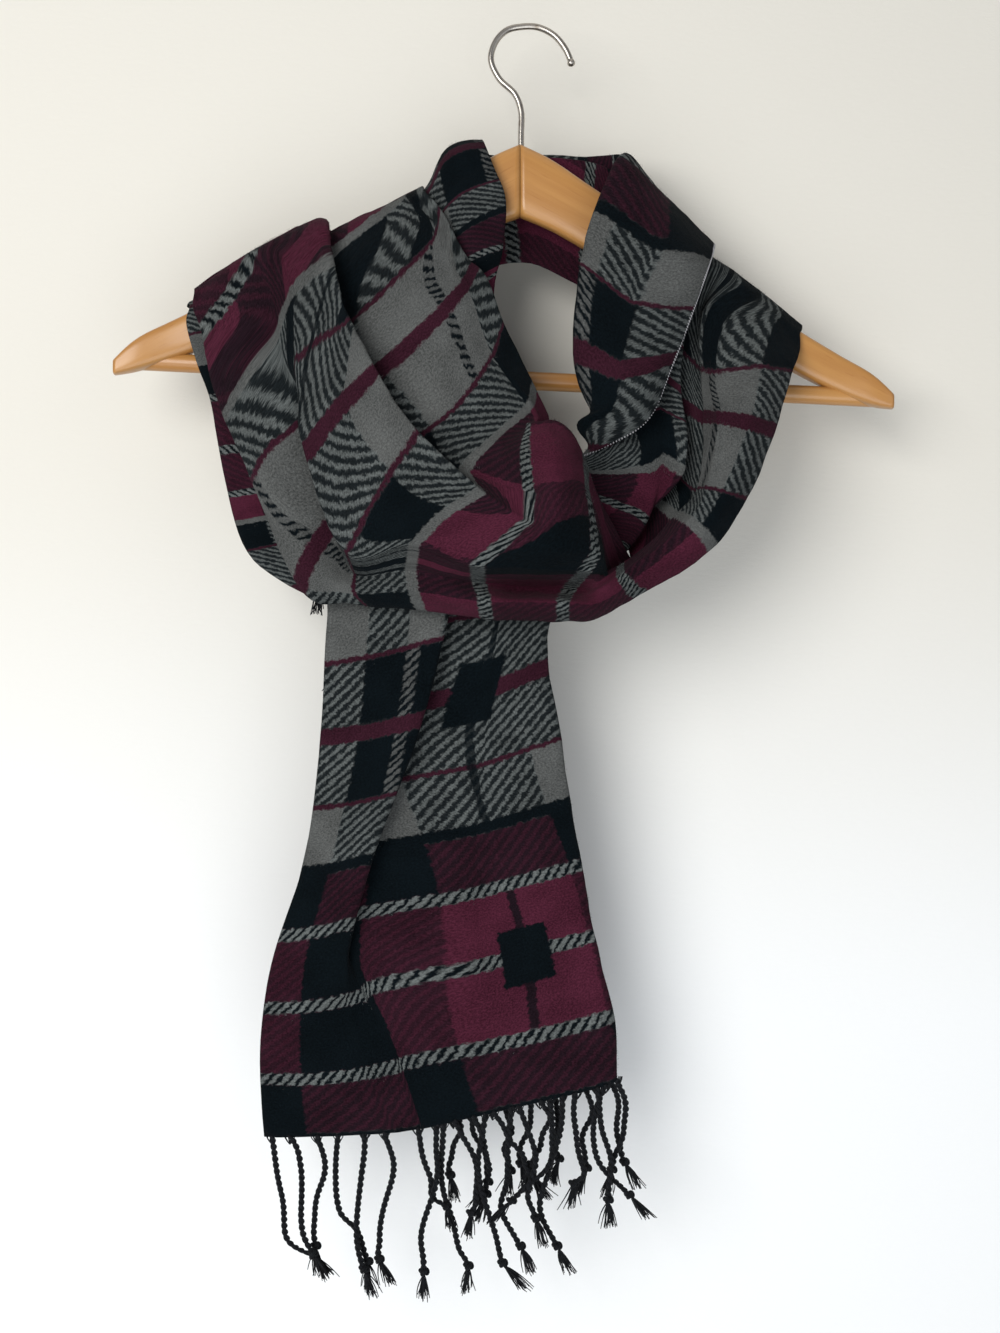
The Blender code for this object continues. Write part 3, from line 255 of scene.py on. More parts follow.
# Where the plaid lies on the cloth.  Row: place along at some lengthwise lines, then the place
# across at each lengthwise line, in millimetres of the plaid.
LOOP_MARKED = ("edge", "fold", "main_tuck", "turned_in")
LOOP_MARKS = {
    "left crest": ((-150, -115, -105, -60), (0, 18, 36, 60, 80, 100, 140, 200, 250, 262)),
    "front lip": ((-143, -110, -100, -58), (0, 18, 36, 60, 80, 100, 140, 200, 250, 262)),
    "left panel 1": ((-135, -99, -88, -48), (0, 22, 44, 90, 100, 112, 150, 205, 255, 268)),
    "left panel 2": ((-121, -80, -80, -35), (0, 22, 44, 110, 125, 140, 175, 215, 262, 275)),
    "left panel 3": ((-100, -45, -64, -20), (30, 52, 74, 125, 150, 178, 190, 228, 270, 282)),
    "left panel 4": ((-50, -28, -42, -8), (45, 70, 100, 145, 175, 212, 196, 235, 276, 288)),
    "left panel 5": ((0, 0, -5, 12), (20, 40, 70, 172, 205, 238, 200, 235, 280, 292)),
    "left panel 6": ((32, 42, 30, 48), (8, 26, 48, 170, 195, 240, 190, 230, 284, 298)),
    "bottom 1": ((85, 81, 66, 105), (0, 22, 45, 178, 205, 240, 212, 235, 284, 298)),
    "bottom 2": ((121, 120, 118, 125), (0, 22, 50, 180, 190, 205, 208, 240, 282, 298)),
    "bottom 3": ((148, 145, 138, 140), (0, 22, 50, 160, 175, 185, 202, 245, 282, 298)),
    "bottom 4": ((170, 168, 165, 155), (0, 22, 48, 140, 160, 178, 196, 245, 282, 298)),
    "bottom 5": ((192, 200, 214, 214), (0, 20, 42, 110, 150, 175, 215, 245, 280, 298)),
    "bottom 6": ((217, 225, 235, 235), (0, 18, 36, 90, 150, 180, 222, 250, 280, 298)),
    "right side 1": ((256, 256, 256, 256), (0, 16, 30, 60, 150, 190, 220, 250, 280, 298)),
    "right side 2": ((294, 294, 294, 294), (0, 18, 36, 60, 150, 190, 220, 250, 280, 298)),
    "right side 3": ((334, 334, 334, 334), (0, 24, 46, 66, 150, 190, 220, 250, 280, 298)),
    "right side 4": ((375, 375, 375, 375), (0, 24, 48, 66, 150, 190, 220, 250, 280, 298)),
    "right side 5": ((400, 400, 400, 400), (0, 24, 48, 66, 150, 190, 220, 250, 280, 298)),
    "right lip": ((407, 407, 407, 407), (0, 24, 48, 66, 150, 190, 220, 250, 280, 298)),
    "right crest": ((411, 411, 411, 411), (0, 24, 48, 66, 150, 190, 220, 250, 280, 298)),
}
RUN_MARKED = ("selvedge", "tuck", "right_fold")
RUN_TURNED = ("neck 2", "under cowl")  # between these rows the cloth lies turned over
RUN_MARKS = {
    "left crest": ((853, 813, 770), (0, 30, 60, 80, 95, 130, 165)),
    "left back lip": ((839, 799, 757), (0, 30, 60, 80, 95, 130, 165)),
    "neck 1": ((800, 770, 735), (0, 33, 62, 88, 110, 140, 170)),
    "neck 2": ((730, 710, 690), (0, 32, 60, 90, 112, 130, 150)),
    "neck 3": ((640, 635, 630), (0, 18, 36, 58, 82, 98, 112)),
    "neck 4": ((580, 580, 578), (0, 22, 44, 62, 86, 106, 120)),
    "neck 5": ((505, 530, 530), (0, 28, 52, 66, 92, 112, 132)),
    "right back lip": ((450, 487, 500), (0, 14, 34, 62, 86, 104, 122)),
    "right crest": ((436, 470, 480), (0, 12, 28, 54, 86, 104, 122)),
    "right front lip": ((424, 453, 462), (0, 12, 26, 54, 86, 104, 122)),
    "flap 1": ((401, 436, 440), (0, 11, 24, 54, 88, 108, 126)),
    "flap 2": ((375, 398, 400), (0, 11, 24, 54, 88, 108, 126)),
    "flap 3": ((328, 357, 345), (0, 10, 22, 53, 88, 110, 126)),
    "flap 4": ((303, 322, 275), (0, 11, 24, 55, 86, 108, 124)),
    "flap 5": ((293, 305, 262), (0, 14, 32, 62, 86, 106, 122)),
    "flap 6": ((285, 290, 251), (10, 24, 40, 62, 82, 104, 120)),
    "under cowl": ((180, 190, 200), (10, 26, 42, 62, 84, 106, 130)),
    "tail 1": ((91, 73, 45), (0, 31, 64, 100, 152, 180, 250)),
    "tail 2": ((67, 44, 24), (0, 31, 63, 100, 154, 186, 250)),
    "tail 3": ((-1, -14, -43), (0, 28, 57, 94, 162, 200, 255)),
    "tail 4": ((-79, -91, -122), (5, 26, 46, 62, 136, 190, 255)),
    "tail 5": ((-139, -149, -176), (3, 26, 48, 60, 126, 186, 255)),
    "tail 6": ((-196, -205, -218), (2, 30, 58, 77, 133, 186, 260)),
    "tail 7": ((-252, -252, -252), (0, 33, 68, 82, 125, 178, 255)),
}
UNDER_TURNED = ("right back", "hidden end 3")
UNDER_ALONG = {"left crest": 650.0, "hidden end 5": 975.0}  # the plaid's place along at these rows
UNDER_GATHERED = 1.3  # cloth across for each millimetre of the row, since small folds take it up

# Top of each arm of the hanger, left then right: distance from the joint, z.
ARM_TOPS = (
    ((0.1, -66.1), (18.9, -74.6), (45.7, -93.1), (84.9, -112.8), (115.1, -127.0), (157.8, -148.1),
     (185.1, -160.3), (210.8, -173.7), (224.4, -182.2), (231.3, -190.8)),
    ((1.0, -66.1), (17.5, -74.6), (45.4, -93.4), (68.2, -108.8), (102.4, -131.6), (136.5, -154.9),
     (159.3, -173.7), (187.8, -190.2), (204.8, -201.6), (212.2, -210.1)),
)
# Height of an arm at each share of its reach.
ARM_HEIGHTS = {0.0: 41.0, 0.08: 39.9, 0.18: 37.6, 0.3: 34.2, 0.43: 30.2, 0.57: 27.3, 0.72: 25.1,
               0.86: 21.6, 0.95: 17.1, 1.0: 8.5}
ARM_REACH = (231.0, 212.0)  # left and right
TIP_FORWARD = 6.0  # how far the tips curve to the front
TIP_FROM = 0.766  # share of the reach where the curve starts

# Line of the hook's wire from inside the wood to its end: x, z.
HOOK_LINE = (
    (0.6, -72.8), (0.6, -59.6), (0.6, -46.4), (-2.9, -36.7), (-12.1, -27.5), (-16.7, -16.6),
    (-13.8, -6.2), (-7.5, 0.1), (0.6, 2.1), (10.3, 1.8), (19.5, -2.8), (25.8, -10.3), (28.7, -16.6),
    (29.8, -20.6),
)

# Fringe strands, in millimetres: root x, first bend x and z, second bend x and z, knot x and z,
# forward.
FRINGE_TAIL = (
    (-137.8, -132.5, -656.5, -129.4, -681.7, -113.8, -691.3, 0),
    (-127.7, -120.6, -639.8, -121.5, -670.9, -113.8, -688.9, 4),
    (-112.6, -108.6, -646.9, -115.0, -668.5, -113.4, -687.7, -3),
    (-100.7, -100.2, -663.7, -91.1, -676.9, -83.9, -694.9, 0),
    (-86.3, -87.0, -646.9, -91.1, -670.9, -85.6, -697.3, 5),
    (-75.5, -70.7, -644.5, -79.1, -682.9, -78.4, -694.9, -4),
    (-56.8, -51.5, -644.5, -47.2, -658.9, -40.7, -663.2, 0),
    (-46.7, -46.3, -639.8, -53.9, -678.1, -53.2, -698.5, 5),
    (-42.7, -41.9, -658.9, -33.6, -687.7, -28.8, -698.5, -4),
    (-37.1, -27.6, -632.6, -24.0, -656.5, -27.6, -666.1, 3),
    (-26.4, -18.5, -635.0, -18.5, -646.9, -19.2, -658.9, -4),
    (-19.2, -22.8, -635.0, -15.6, -673.3, -9.6, -693.7, 5),
    (-15.6, -6.0, -625.4, 1.2, -637.4, 6.0, -646.9, -2),
    (-4.8, -8.4, -646.9, -9.6, -666.1, 0.7, -686.5, 0),
    (-1.2, 7.2, -635.0, 4.8, -656.5, 8.4, -668.5, 5),
    (10.8, 15.6, -615.8, 10.8, -630.2, 6.0, -642.1, -5),
    (15.6, 18.0, -630.2, 10.8, -661.3, 20.9, -686.5, 0),
    (22.8, 18.0, -635.0, 6.0, -648.1, -6.0, -658.9, 4),
    (30.0, 30.0, -625.4, 34.8, -644.5, 28.8, -650.5, 0),
    (42.0, 45.5, -620.6, 49.1, -642.1, 47.9, -658.9, 4),
    (46.7, 39.6, -627.8, 49.1, -646.9, 61.1, -658.9, -4),
    (58.7, 58.7, -613.4, 53.9, -630.2, 50.3, -644.5, 0),
)
TUFT_LENGTH = 14.0  # from a strand's knot to its end
TURNED_EDGE = ((52.8, -593.8), (-39.3, -615.0))  # x and z where the turned edge starts and ends
# Strands on the turned edge: place along it (0..1), end x, end z, sideways sag, forward.
TURNED_STRANDS = (
    (0.958, -39.3, -664.3, 1.7, -4),
    (0.849, -18.2, -668.8, -1.7, -5),
    (0.681, -5.4, -662.1, 1.7, -4),
    (0.518, 0.2, -658.8, 1.7, -6),
    (0.386, 21.8, -655.4, 1.7, -4),
    (0.193, 37.4, -661.0, 2.2, -5),
    (0.048, 58.5, -656.6, 2.2, -4),
)
BEND_PLACES = (0.33, 0.7)  # how far down a hung strand its two bends lie
BEND_SAGS = (1.6, -0.8)  # how much of its sag each bend takes
HIDDEN_EDGE = ((-115.7, -326.3), (-23.8, -254.5))  # x and z of the hidden end's two corners
HIDDEN_CORNER = (0.049, -113.4, -335.3, -1.7, 0)  # the one strand that shows, at the low corner
HIDDEN_COUNT = 10  # further strands behind the cloth
HIDDEN_FIRST = 0.171
HIDDEN_STEP = 0.0853
HIDDEN_DROPS = (66.0, 58.5, 64.5, 60.5)  # lengths, one after the other
HIDDEN_SAG = 1.1


def arm_rows() -> np.ndarray:
    """Works out the arms' sections: share of the reach, both tops, height and forward."""
    shares = np.array(list(ARM_HEIGHTS))
    tops = [np.interp(shares * reach, *np.array(top).T) for reach, top in zip(ARM_REACH, ARM_TOPS)]
    forward = TIP_FORWARD * (np.maximum(shares - TIP_FROM, 0) / (1 - TIP_FROM))**2
    return np.stack([shares, *tops, list(ARM_HEIGHTS.values()), forward], -1)


def on_edge(edge: tuple, place: float) -> tuple[float, float]:
    """Gives x and z at a place (0..1) on a straight edge."""
    (x_from, z_from), (x_to, z_to) = edge
    return x_from + (x_to - x_from) * place, z_from + (z_to - z_from) * place


def hung_strands(edge: tuple, strands: tuple) -> tuple:
    """Works out the bends of strands that hang from a straight edge.

    Args:
        edge: x and z of the edge's two ends.
        strands: place along the edge, end x, end z, sag and forward of each strand.

    Returns:
        Root x, two bends, knot and forward of each strand.
    """
    rows = []
    for place, end_x, end_z, sag, forward in strands:
        x, z = on_edge(edge, place)
        across, down = end_x - x, end_z + TUFT_LENGTH - z
        bends = []
        for share, part in zip(BEND_PLACES, BEND_SAGS):
            bends += [x + across * share + sag * part, z + down * share]
        rows.append((x, *bends, end_x, end_z + TUFT_LENGTH, forward))
    return tuple(rows)


def hidden_strands() -> tuple:
    """Works out the strands of the hidden end: evenly spaced, in four lengths by turns."""
    rows = [HIDDEN_CORNER]
    for k in range(HIDDEN_COUNT):
        place = HIDDEN_FIRST + HIDDEN_STEP * k
        x, z = on_edge(HIDDEN_EDGE, place)
        drop = HIDDEN_DROPS[k % len(HIDDEN_DROPS)]
        rows.append((place, x + HIDDEN_SAG, z - drop, HIDDEN_SAG, 0))
    return hung_strands(HIDDEN_EDGE, tuple(rows))


class Face(Enum):
    """Which face of the double-woven cloth lies outwards."""

    FRONT = 0.0
    REVERSE = 1.0


def unit(vectors: np.ndarray) -> np.ndarray:
    """Scales vectors to length one."""
    return vectors / np.maximum(np.linalg.norm(vectors, axis=-1, keepdims=True), 1e-9)


def through(points: np.ndarray, knots: np.ndarray, places: np.ndarray) -> np.ndarray:
    """Follows a smooth curve through points.

    Args:
        points: values along axis 0, with any further axes.
        knots: the parameter at each point, which broadcasts over the further axes.
        places: where to sample, as numbers of points with fractions.

    Returns:
        The values at those places along axis 0.
    """
    step = np.diff(knots, axis=0)
    slope = np.diff(points, axis=0) / step
    tangent = np.empty_like(points)
    tangent[1:-1] = (slope[:-1] * step[1:] + slope[1:] * step[:-1]) / (step[1:] + step[:-1])
    tangent[0] = 1.5 * slope[0] - 0.5 * tangent[1]
    tangent[-1] = 1.5 * slope[-1] - 0.5 * tangent[-2]
    span = np.clip(np.floor(places).astype(int), 0, len(points) - 2)
    s = (places - span).reshape((-1,) + (1,) * (points.ndim - 1))
    h = step[span]
    return (
        (2 * s**3 - 3 * s**2 + 1) * points[span]
        + (s**3 - 2 * s**2 + s) * h * tangent[span]
        + (3 * s**2 - 2 * s**3) * points[span + 1]
        + (s**3 - s**2) * h * tangent[span + 1]
    )


def chord_knots(points: np.ndarray, power: float) -> np.ndarray:
    """Knots along axis 0 that grow with the distance between neighbouring points."""
    apart = np.linalg.norm(np.diff(points, axis=0), axis=-1, keepdims=True)
    return np.concatenate([np.zeros_like(apart[:1]), np.cumsum(np.maximum(apart, 0.5)**power, 0)])


def soft_waves(points: np.ndarray, size: float, seed: int, count: int = 14) -> np.ndarray:
    """Gentle random relief, from -1 to 1.

    Args:
        points: places, with two or three numbers on the last axis.
        size: the usual distance from one rise to the next.
        seed: which relief of many.
        count: how many waves are laid over one another.

    Returns:
        One number for each place.
    """
    rng = np.random.default_rng(seed)
    total = np.zeros(points.shape[:-1])
    for _ in range(count):
        way = unit(rng.normal(size=points.shape[-1])) * 2 * math.pi / (size * rng.uniform(0.7, 1.6))
        total += np.sin(points @ way + rng.uniform(0, 2 * math.pi))
    return total / math.sqrt(count)


@dataclass
class Surface:
    """A sampled stretch of cloth: its points, its outward side and its place on the plaid."""

    points: np.ndarray
    outward: np.ndarray
    across: np.ndarray
    along: np.ndarray


@dataclass
class Strip:
    """A length of the scarf that follows a table of sections.

    Attributes:
        rows: the table, name to points across.
        folds: names of the lengthwise lines along which the cloth is folded.
        columns: names of all the lengthwise lines.
        marks: row to its place on the plaid, along at the marked lines and across at each line.
        marked: names of the marked lines.
    """

    rows: dict[str, tuple]
    columns: tuple[str, ...]
    folds: tuple[str, ...]
    marks: dict[str, tuple]
    marked: tuple[str, ...]

    def table(self) -> np.ndarray:
        """The rows as one array of points."""
        return np.array(list(self.rows.values()), float)

    def plaid(self) -> np.ndarray:
        """Place on the plaid of each point of the table: across, then along."""
        at = [self.columns.index(name) for name in self.marked]
        every = np.arange(len(self.columns))
        return np.array([np.stack([across, np.interp(every, at, along)], -1)
                         for along, across in self.marks.values()], float)

    def open_folds(self, lines: np.ndarray, marks: np.ndarray) -> tuple[np.ndarray, np.ndarray]:
        """Replaces the line of each fold by three, which turn round with a radius.

        Args:
            lines: points of each lengthwise line.
            marks: place on the plaid of the same points.

        Returns:
            The lines and their marks, with three for each fold.
        """
        at = {self.columns.index(name) for name in self.folds}
        out, told = [], []
        for k, (line, mark) in enumerate(zip(lines, marks)):
            if k not in at:
                out.append(line)
                told.append(mark)
                continue
            before, after = lines[k - 1] - line, lines[k + 1] - line
            room = np.minimum(np.linalg.norm(before, axis=-1), np.linalg.norm(after, axis=-1))
            share = np.minimum(FOLD_RADIUS * 1.4 / np.maximum(room, 1e-6), 0.25)[:, None]
            before, after = unit(before), unit(after)
            sharp = np.clip((before * after).sum(-1) * 0.9 + 0.2, 0.0, 1.0)
            reach = room[:, None] * share
            apart = np.minimum(FOLD_RADIUS * sharp, 0.2 * room)[:, None] * unit(before - after)
            out += [line + before * reach + apart, line, line + after * reach - apart]
            told += [mark + (marks[k - 1] - mark) * share, mark, mark + (marks[k + 1] - mark) * share]
        return np.stack(out), np.stack(told)

    def sample(self, along: np.ndarray, steps: int, turn: int) -> tuple[np.ndarray, np.ndarray]:
        """Samples points and marks.

        Args:
            along: rows by number, with fractions between rows.
            steps: samples from one lengthwise line to the next.
            turn: samples in each half of a fold's turn.

        Returns:
            Points and marks, a row for each place along.
        """
        rows = self.table()
        mean = np.linalg.norm(np.diff(rows, axis=0), axis=-1).mean(axis=1)
        knots = np.concatenate([[0.0], np.cumsum(mean**0.6)]).reshape(-1, 1, 1)
        marks = self.plaid()
        lines, told = self.open_folds(through(rows, knots, along).transpose(1, 0, 2),
                                      through(marks, knots, along).transpose(1, 0, 2))
        at = {self.columns.index(name) for name in self.folds}
        places, now = [0.0], 0.0
        for k in range(rows.shape[1] - 1):
            places += [now + (i + 1) / steps for i in range(steps)]
            now += 1.0
            if k + 1 in at:
                places += [now + (i + 1) / turn for i in range(2 * turn)]
                now += 2.0
        knots = chord_knots(lines, 0.5)
        places = np.array(places)
        return (through(lines, knots, places).transpose(1, 0, 2),
                through(told, knots, places).transpose(1, 0, 2))

    def surface(self, steps: int, turn: int, per_row: int) -> Surface:
        """Samples the whole strip, with its outward side from the directions of its lines."""
        count = len(self.rows)
        along = np.linspace(0, count - 1, (count - 1) * per_row + 1)
        points, marks = self.sample(along, steps, turn)
        ahead = np.gradient(points, axis=0)
        outward = unit(np.cross(ahead, np.gradient(points, axis=1)))
        return Surface(points, outward, marks[..., 0], marks[..., 1])


def tell(mesh: bpy.types.Mesh, name: str, values: np.ndarray) -> None:
    """Keeps one vector for each point of a mesh, for its material to read."""
    kept = mesh.attributes.new(name, "FLOAT_VECTOR", "POINT")
    kept.data.foreach_set("vector", np.asarray(values, np.float32).ravel())


def mesh_piece(name: str, points: np.ndarray, faces: np.ndarray | list, paint: bpy.types.Material,
               smooth: bool = True) -> bpy.types.Object:
    """Makes an object from points in millimetres.

    Args:
        name: the piece's name.
        points: its points.
        faces: its faces, as rows of point numbers.
        paint: its material.
        smooth: whether its faces shade smoothly.

    Returns:
        The new object, linked to the scene.
    """
    mesh = bpy.data.meshes.new(name)
    faces = faces.tolist() if isinstance(faces, np.ndarray) else faces
    mesh.from_pydata((np.asarray(points, float) * MM).tolist(), [], faces)
    mesh.polygons.foreach_set("use_smooth", np.full(len(mesh.polygons), smooth))
    mesh.materials.append(paint)
    mesh.update()
    made = bpy.data.objects.new(name, mesh)
    bpy.context.scene.collection.objects.link(made)
    return made


def tube_mesh(path: np.ndarray, radii: np.ndarray, sides: int, first: int) -> tuple[list, list]:
    """Points and faces of a round tube with closed ends.

    Args:
        path: its centre line.
        radii: its radius at each point.
        sides: how many sides it has.
        first: the number that its first point gets.

    Returns:
        Its points and its faces.
    """
    ahead = unit(np.gradient(path, axis=0))
    flat = np.array([0.0, 1.0, 0.0]) if abs(ahead[:, 1]).mean() < 0.8 else np.array([1.0, 0, 0])
    one = unit(np.cross(ahead, flat))
    two = np.cross(ahead, one)
    turn = np.linspace(0, 2 * math.pi, sides, endpoint=False)
    ring = np.cos(turn)[:, None] * one[:, None, :] + np.sin(turn)[:, None] * two[:, None, :]
    points = (path[:, None, :] + ring * radii[:, None, None]).reshape(-1, 3)
    number = np.arange(len(points)).reshape(len(path), sides) + first
    nxt = np.roll(number, -1, axis=1)
    faces = np.stack([number[:-1], nxt[:-1], nxt[1:], number[1:]], -1).reshape(-1, 4).tolist()
    faces += [number[0, ::-1].tolist(), number[-1].tolist()]
    return points.tolist(), faces


class Graph:
    """Writes a material's nodes as arithmetic on their sockets."""

    def __init__(self, name: str) -> None:
        """Makes the material and finds its shader."""
        self.material = bpy.data.materials.new(name)
        self.material.use_nodes = True
        self.tree = self.material.node_tree
        self.shader = self.tree.nodes["Principled BSDF"]

    def plug(self, socket: bpy.types.NodeSocket, value: object) -> None:
        """Links a socket to another, or gives it a plain value."""
        if isinstance(value, bpy.types.NodeSocket):
            self.tree.links.new(value, socket)
        elif value is not None:
            socket.default_value = value

    def math(self, operation: str, a: object, b: object = None, c: object = None) -> object:
        """One step of arithmetic."""
        node = self.tree.nodes.new("ShaderNodeMath")
        node.operation = operation
        for socket, value in zip(node.inputs, (a, b, c)):
            self.plug(socket, value)
        return node.outputs[0]

    def add(self, *values: object) -> object:
        """The sum of all the values."""
        total = values[0]
        for value in values[1:]:
            total = self.math("ADD", total, value)
        return total

    def times(self, *values: object) -> object:
        """The product of all the values."""
        total = values[0]
        for value in values[1:]:
            total = self.math("MULTIPLY", total, value)
        return total

    def less(self, value: object) -> object:
        """One minus the value."""
        return self.math("SUBTRACT", 1.0, value)

    def ramp(self, value: object, low: float, high: float) -> object:
        """Rises smoothly from 0 at low to 1 at high; low may be the greater."""
        node = self.tree.nodes.new("ShaderNodeMapRange")
        node.interpolation_type = "SMOOTHSTEP"
        self.plug(node.inputs["Value"], value)
        self.plug(node.inputs["From Min"], low)
        self.plug(node.inputs["From Max"], high)
        return node.outputs["Result"]

    def band(self, value: object, low: float, high: float, soft: float) -> object:
        """One between low and high, with soft sides."""
        rise = self.ramp(value, low - soft, low + soft)
        fall = self.ramp(value, high + soft, high - soft)
        return self.times(rise, fall)

    def noise(self, vector: object, scale: float, detail: float = 2.0, rough: float = 0.5) -> object:
        """A noise texture's value, about 0.5 in the middle."""
        node = self.tree.nodes.new("ShaderNodeTexNoise")
        self.plug(node.inputs["Vector"], vector)
        for name, value in (("Scale", scale), ("Detail", detail), ("Roughness", rough)):
            self.plug(node.inputs[name], value)
        return node.outputs["Fac"]

    def mix(self, share: object, a: object, b: object) -> object:
        """Mixes two colours."""
        node = self.tree.nodes.new("ShaderNodeMix")
        node.data_type = "RGBA"
        self.plug(node.inputs["Factor"], share)
        for socket, value in ((node.inputs["A"], a), (node.inputs["B"], b)):
            colours = [s for s in node.inputs if s.name == socket.name and s.type == "RGBA"]
            self.plug(colours[0], (*value, 1.0) if isinstance(value, tuple) else value)
        return [s for s in node.outputs if s.type == "RGBA"][0]

    def vector(self, x: object, y: object, z: object) -> object:
        """A vector from three values."""
        node = self.tree.nodes.new("ShaderNodeCombineXYZ")
        for socket, value in zip(node.inputs, (x, y, z)):
            self.plug(socket, value)
        return node.outputs[0]

    def parts(self, vector: object) -> tuple:
        """The three values of a vector."""
        node = self.tree.nodes.new("ShaderNodeSeparateXYZ")
        self.plug(node.inputs[0], vector)
        return tuple(node.outputs)

    def attribute(self, name: str) -> object:
        """A vector that the mesh keeps at its points."""
        node = self.tree.nodes.new("ShaderNodeAttribute")
        node.attribute_name = name
        return node.outputs["Vector"]

    def place(self) -> object:
        """Object coordinates."""
        return self.tree.nodes.new("ShaderNodeTexCoord").outputs["Object"]

    def bump(self, height: object, distance: float, strength: float = 1.0) -> None:
        """Lets a height raise the shader's surface."""
        node = self.tree.nodes.new("ShaderNodeBump")
        node.inputs["Strength"].default_value = strength
        node.inputs["Distance"].default_value = distance
        self.plug(node.inputs["Height"], height)
        self.plug(self.shader.inputs["Normal"], node.outputs[0])

    def finish(self, **values: object) -> bpy.types.Material:
        """Sets the shader's inputs, named with underscores for spaces, and gives the material."""
        for name, value in values.items():
            value = (*value, 1.0) if isinstance(value, tuple) and len(value) == 3 else value
            self.plug(self.shader.inputs[name.replace("_", " ")], value)
        return self.material


@dataclass(frozen=True)
class Plaid:
    """The brushed twill of the scarf: black, greys and wine."""

    black: tuple = (0.0028, 0.0052, 0.0070)
    grey: tuple = (0.092, 0.096, 0.094)
    pale: tuple = (0.15, 0.165, 0.162)
    wine: tuple = (0.062, 0.0125, 0.026)
    fuzz: float = 1.5
    band_light: float = 0.26
    rope_period: float = 5.4
    float_period: float = 2.3

    def material(self) -> bpy.types.Material:
        """Builds the material from the cloth's marks: across, along and face."""
        g = Graph("brushed_plaid")
        across, along, face = g.parts(g.attribute("cloth"))
        face = g.ramp(face, 0.45, 0.55)
        spot = g.vector(across, along, g.times(face, 40.0))
        stray = [g.times(g.math("SUBTRACT", g.noise(spot, scale, 2.0, 0.6), 0.5), self.fuzz * 3)
                 for scale in (0.32, 0.37)]
        fine = g.noise(spot, 1.7, 2.0, 0.7)
        u = g.add(across, stray[0])
        v = g.add(along, stray[1])
        p = g.math("PINGPONG", v, HALF_REPEAT)
        q = g.math("SUBTRACT", MIDDLE, g.math("ABSOLUTE", g.math("SUBTRACT", u, MIDDLE)))
        row = {name: g.band(p, low, high, 0.7) for name, (low, high) in (
            ("band", WINE_BAND), ("grey", GREY_ROW), ("thin", WINE_LINE), ("square", SQUARE_ROW),
            ("line", LINE), ("wine", WINE_ROW), ("rope", ROPE), ("bright", BRIGHT_ROW),
            ("middle", MIDDLE_ROPE))}
        column = [g.band(q, low, high, 0.7) for low, high in (
            (-9.0, OUTER_COLUMN), (OUTER_COLUMN, SECOND_COLUMN), (SECOND_COLUMN, THIRD_COLUMN),
            (THIRD_COLUMN, MIDDLE_LINE + 9))]
        twill = self.diagonals(g, u, v)
        # Solid fields are dark on one face and light on the other; the rest is twill on both.
        dark_field = g.add(g.times(row["grey"], column[1]), row["line"],
                           g.times(row["wine"], g.add(column[0], column[2])),
                           g.times(row["bright"], column[1]))
        light_field = g.add(g.times(row["square"], g.add(column[0], column[2])),
                            g.times(row["bright"], column[3]))
        wave = g.math("WRAP", v, HALF_REPEAT, -HALF_REPEAT)
        slant = g.times(wave, g.math("SUBTRACT", MIDDLE, u))
        patch = g.times(g.band(q, *PATCH, 0.7), row["square"], g.ramp(slant, -9.0, 9.0))
        light_field = g.add(light_field, patch)
        rope = g.add(row["rope"], row["middle"])
        whole = g.add(row["band"], row["thin"])
        solid = g.add(dark_field, light_field, whole, rope)
        light = g.add(g.times(dark_field, face), g.times(light_field, g.less(face)),
                      g.times(whole, self.band_light), g.times(rope, self.rope(g, u, v)),
                      g.times(g.less(solid), self.field(g, twill, p)))
        # The rope that runs lengthwise in the grey row, and the dark line down the middle.
        dashes = g.times(g.band(q, *COLUMN_ROPE, 0.7), row["grey"])
        light = g.add(g.times(light, g.less(dashes)), g.times(dashes, self.rope(g, v, u)))
        spine = g.times(g.ramp(q, MIDDLE_LINE - 0.8, MIDDLE_LINE + 0.5), g.less(rope),
                        g.less(row["wine"]))
        light = g.times(light, g.less(g.times(spine, 0.85)))
        wine_part = g.math("MINIMUM", g.add(row["wine"], row["bright"], whole), 1.0)
        light = g.add(g.times(light, g.less(wine_part)),
                      g.times(wine_part, g.math("MINIMUM", g.times(light, g.add(1.0, whole)), 1.0)))
        square = g.times(g.ramp(q, MIDDLE - SQUARE[1] - 0.7, MIDDLE - SQUARE[1] + 0.7),
                         g.math("MAXIMUM", g.ramp(p, SQUARE[0] + 0.7, SQUARE[0] - 0.7),
                                g.ramp(p, HALF_REPEAT - SQUARE[0] - 0.7, HALF_REPEAT - SQUARE[0] + 0.7)))
        light = g.times(light, g.less(g.times(square, g.less(face))))
        tone = g.mix(g.times(solid, g.less(rope)), self.pale, self.grey)
        colour = g.mix(g.math("MINIMUM", light, 1.0), self.black, g.mix(wine_part, tone, self.wine))
        worn = g.ramp(g.noise(spot, 0.035, 3.0, 0.6), 0.3, 0.7)
        speck = g.ramp(g.noise(spot, 0.95, 4.0, 0.8), 0.34, 0.66)
        melange = g.add(0.2, g.times(fine, 0.35), g.times(speck, 0.75), g.times(worn, 0.3))
        crease = g.noise(g.vector(across, g.times(along, 0.8), 0.0), 0.055, 3.0, 0.55)
        node = g.tree.nodes.new("ShaderNodeHueSaturation")
        g.plug(node.inputs["Color"], colour)
        g.plug(node.inputs["Value"], melange)
        g.bump(g.add(g.times(twill, 0.6), g.times(fine, 0.8), g.times(speck, 0.4),
                     g.times(crease, 9.0)), 0.0005, 0.7)
        return g.finish(Base_Color=node.outputs[0], Roughness=0.95, Sheen_Weight=0.02,
                        Sheen_Roughness=0.45, Specular_IOR_Level=0.03)

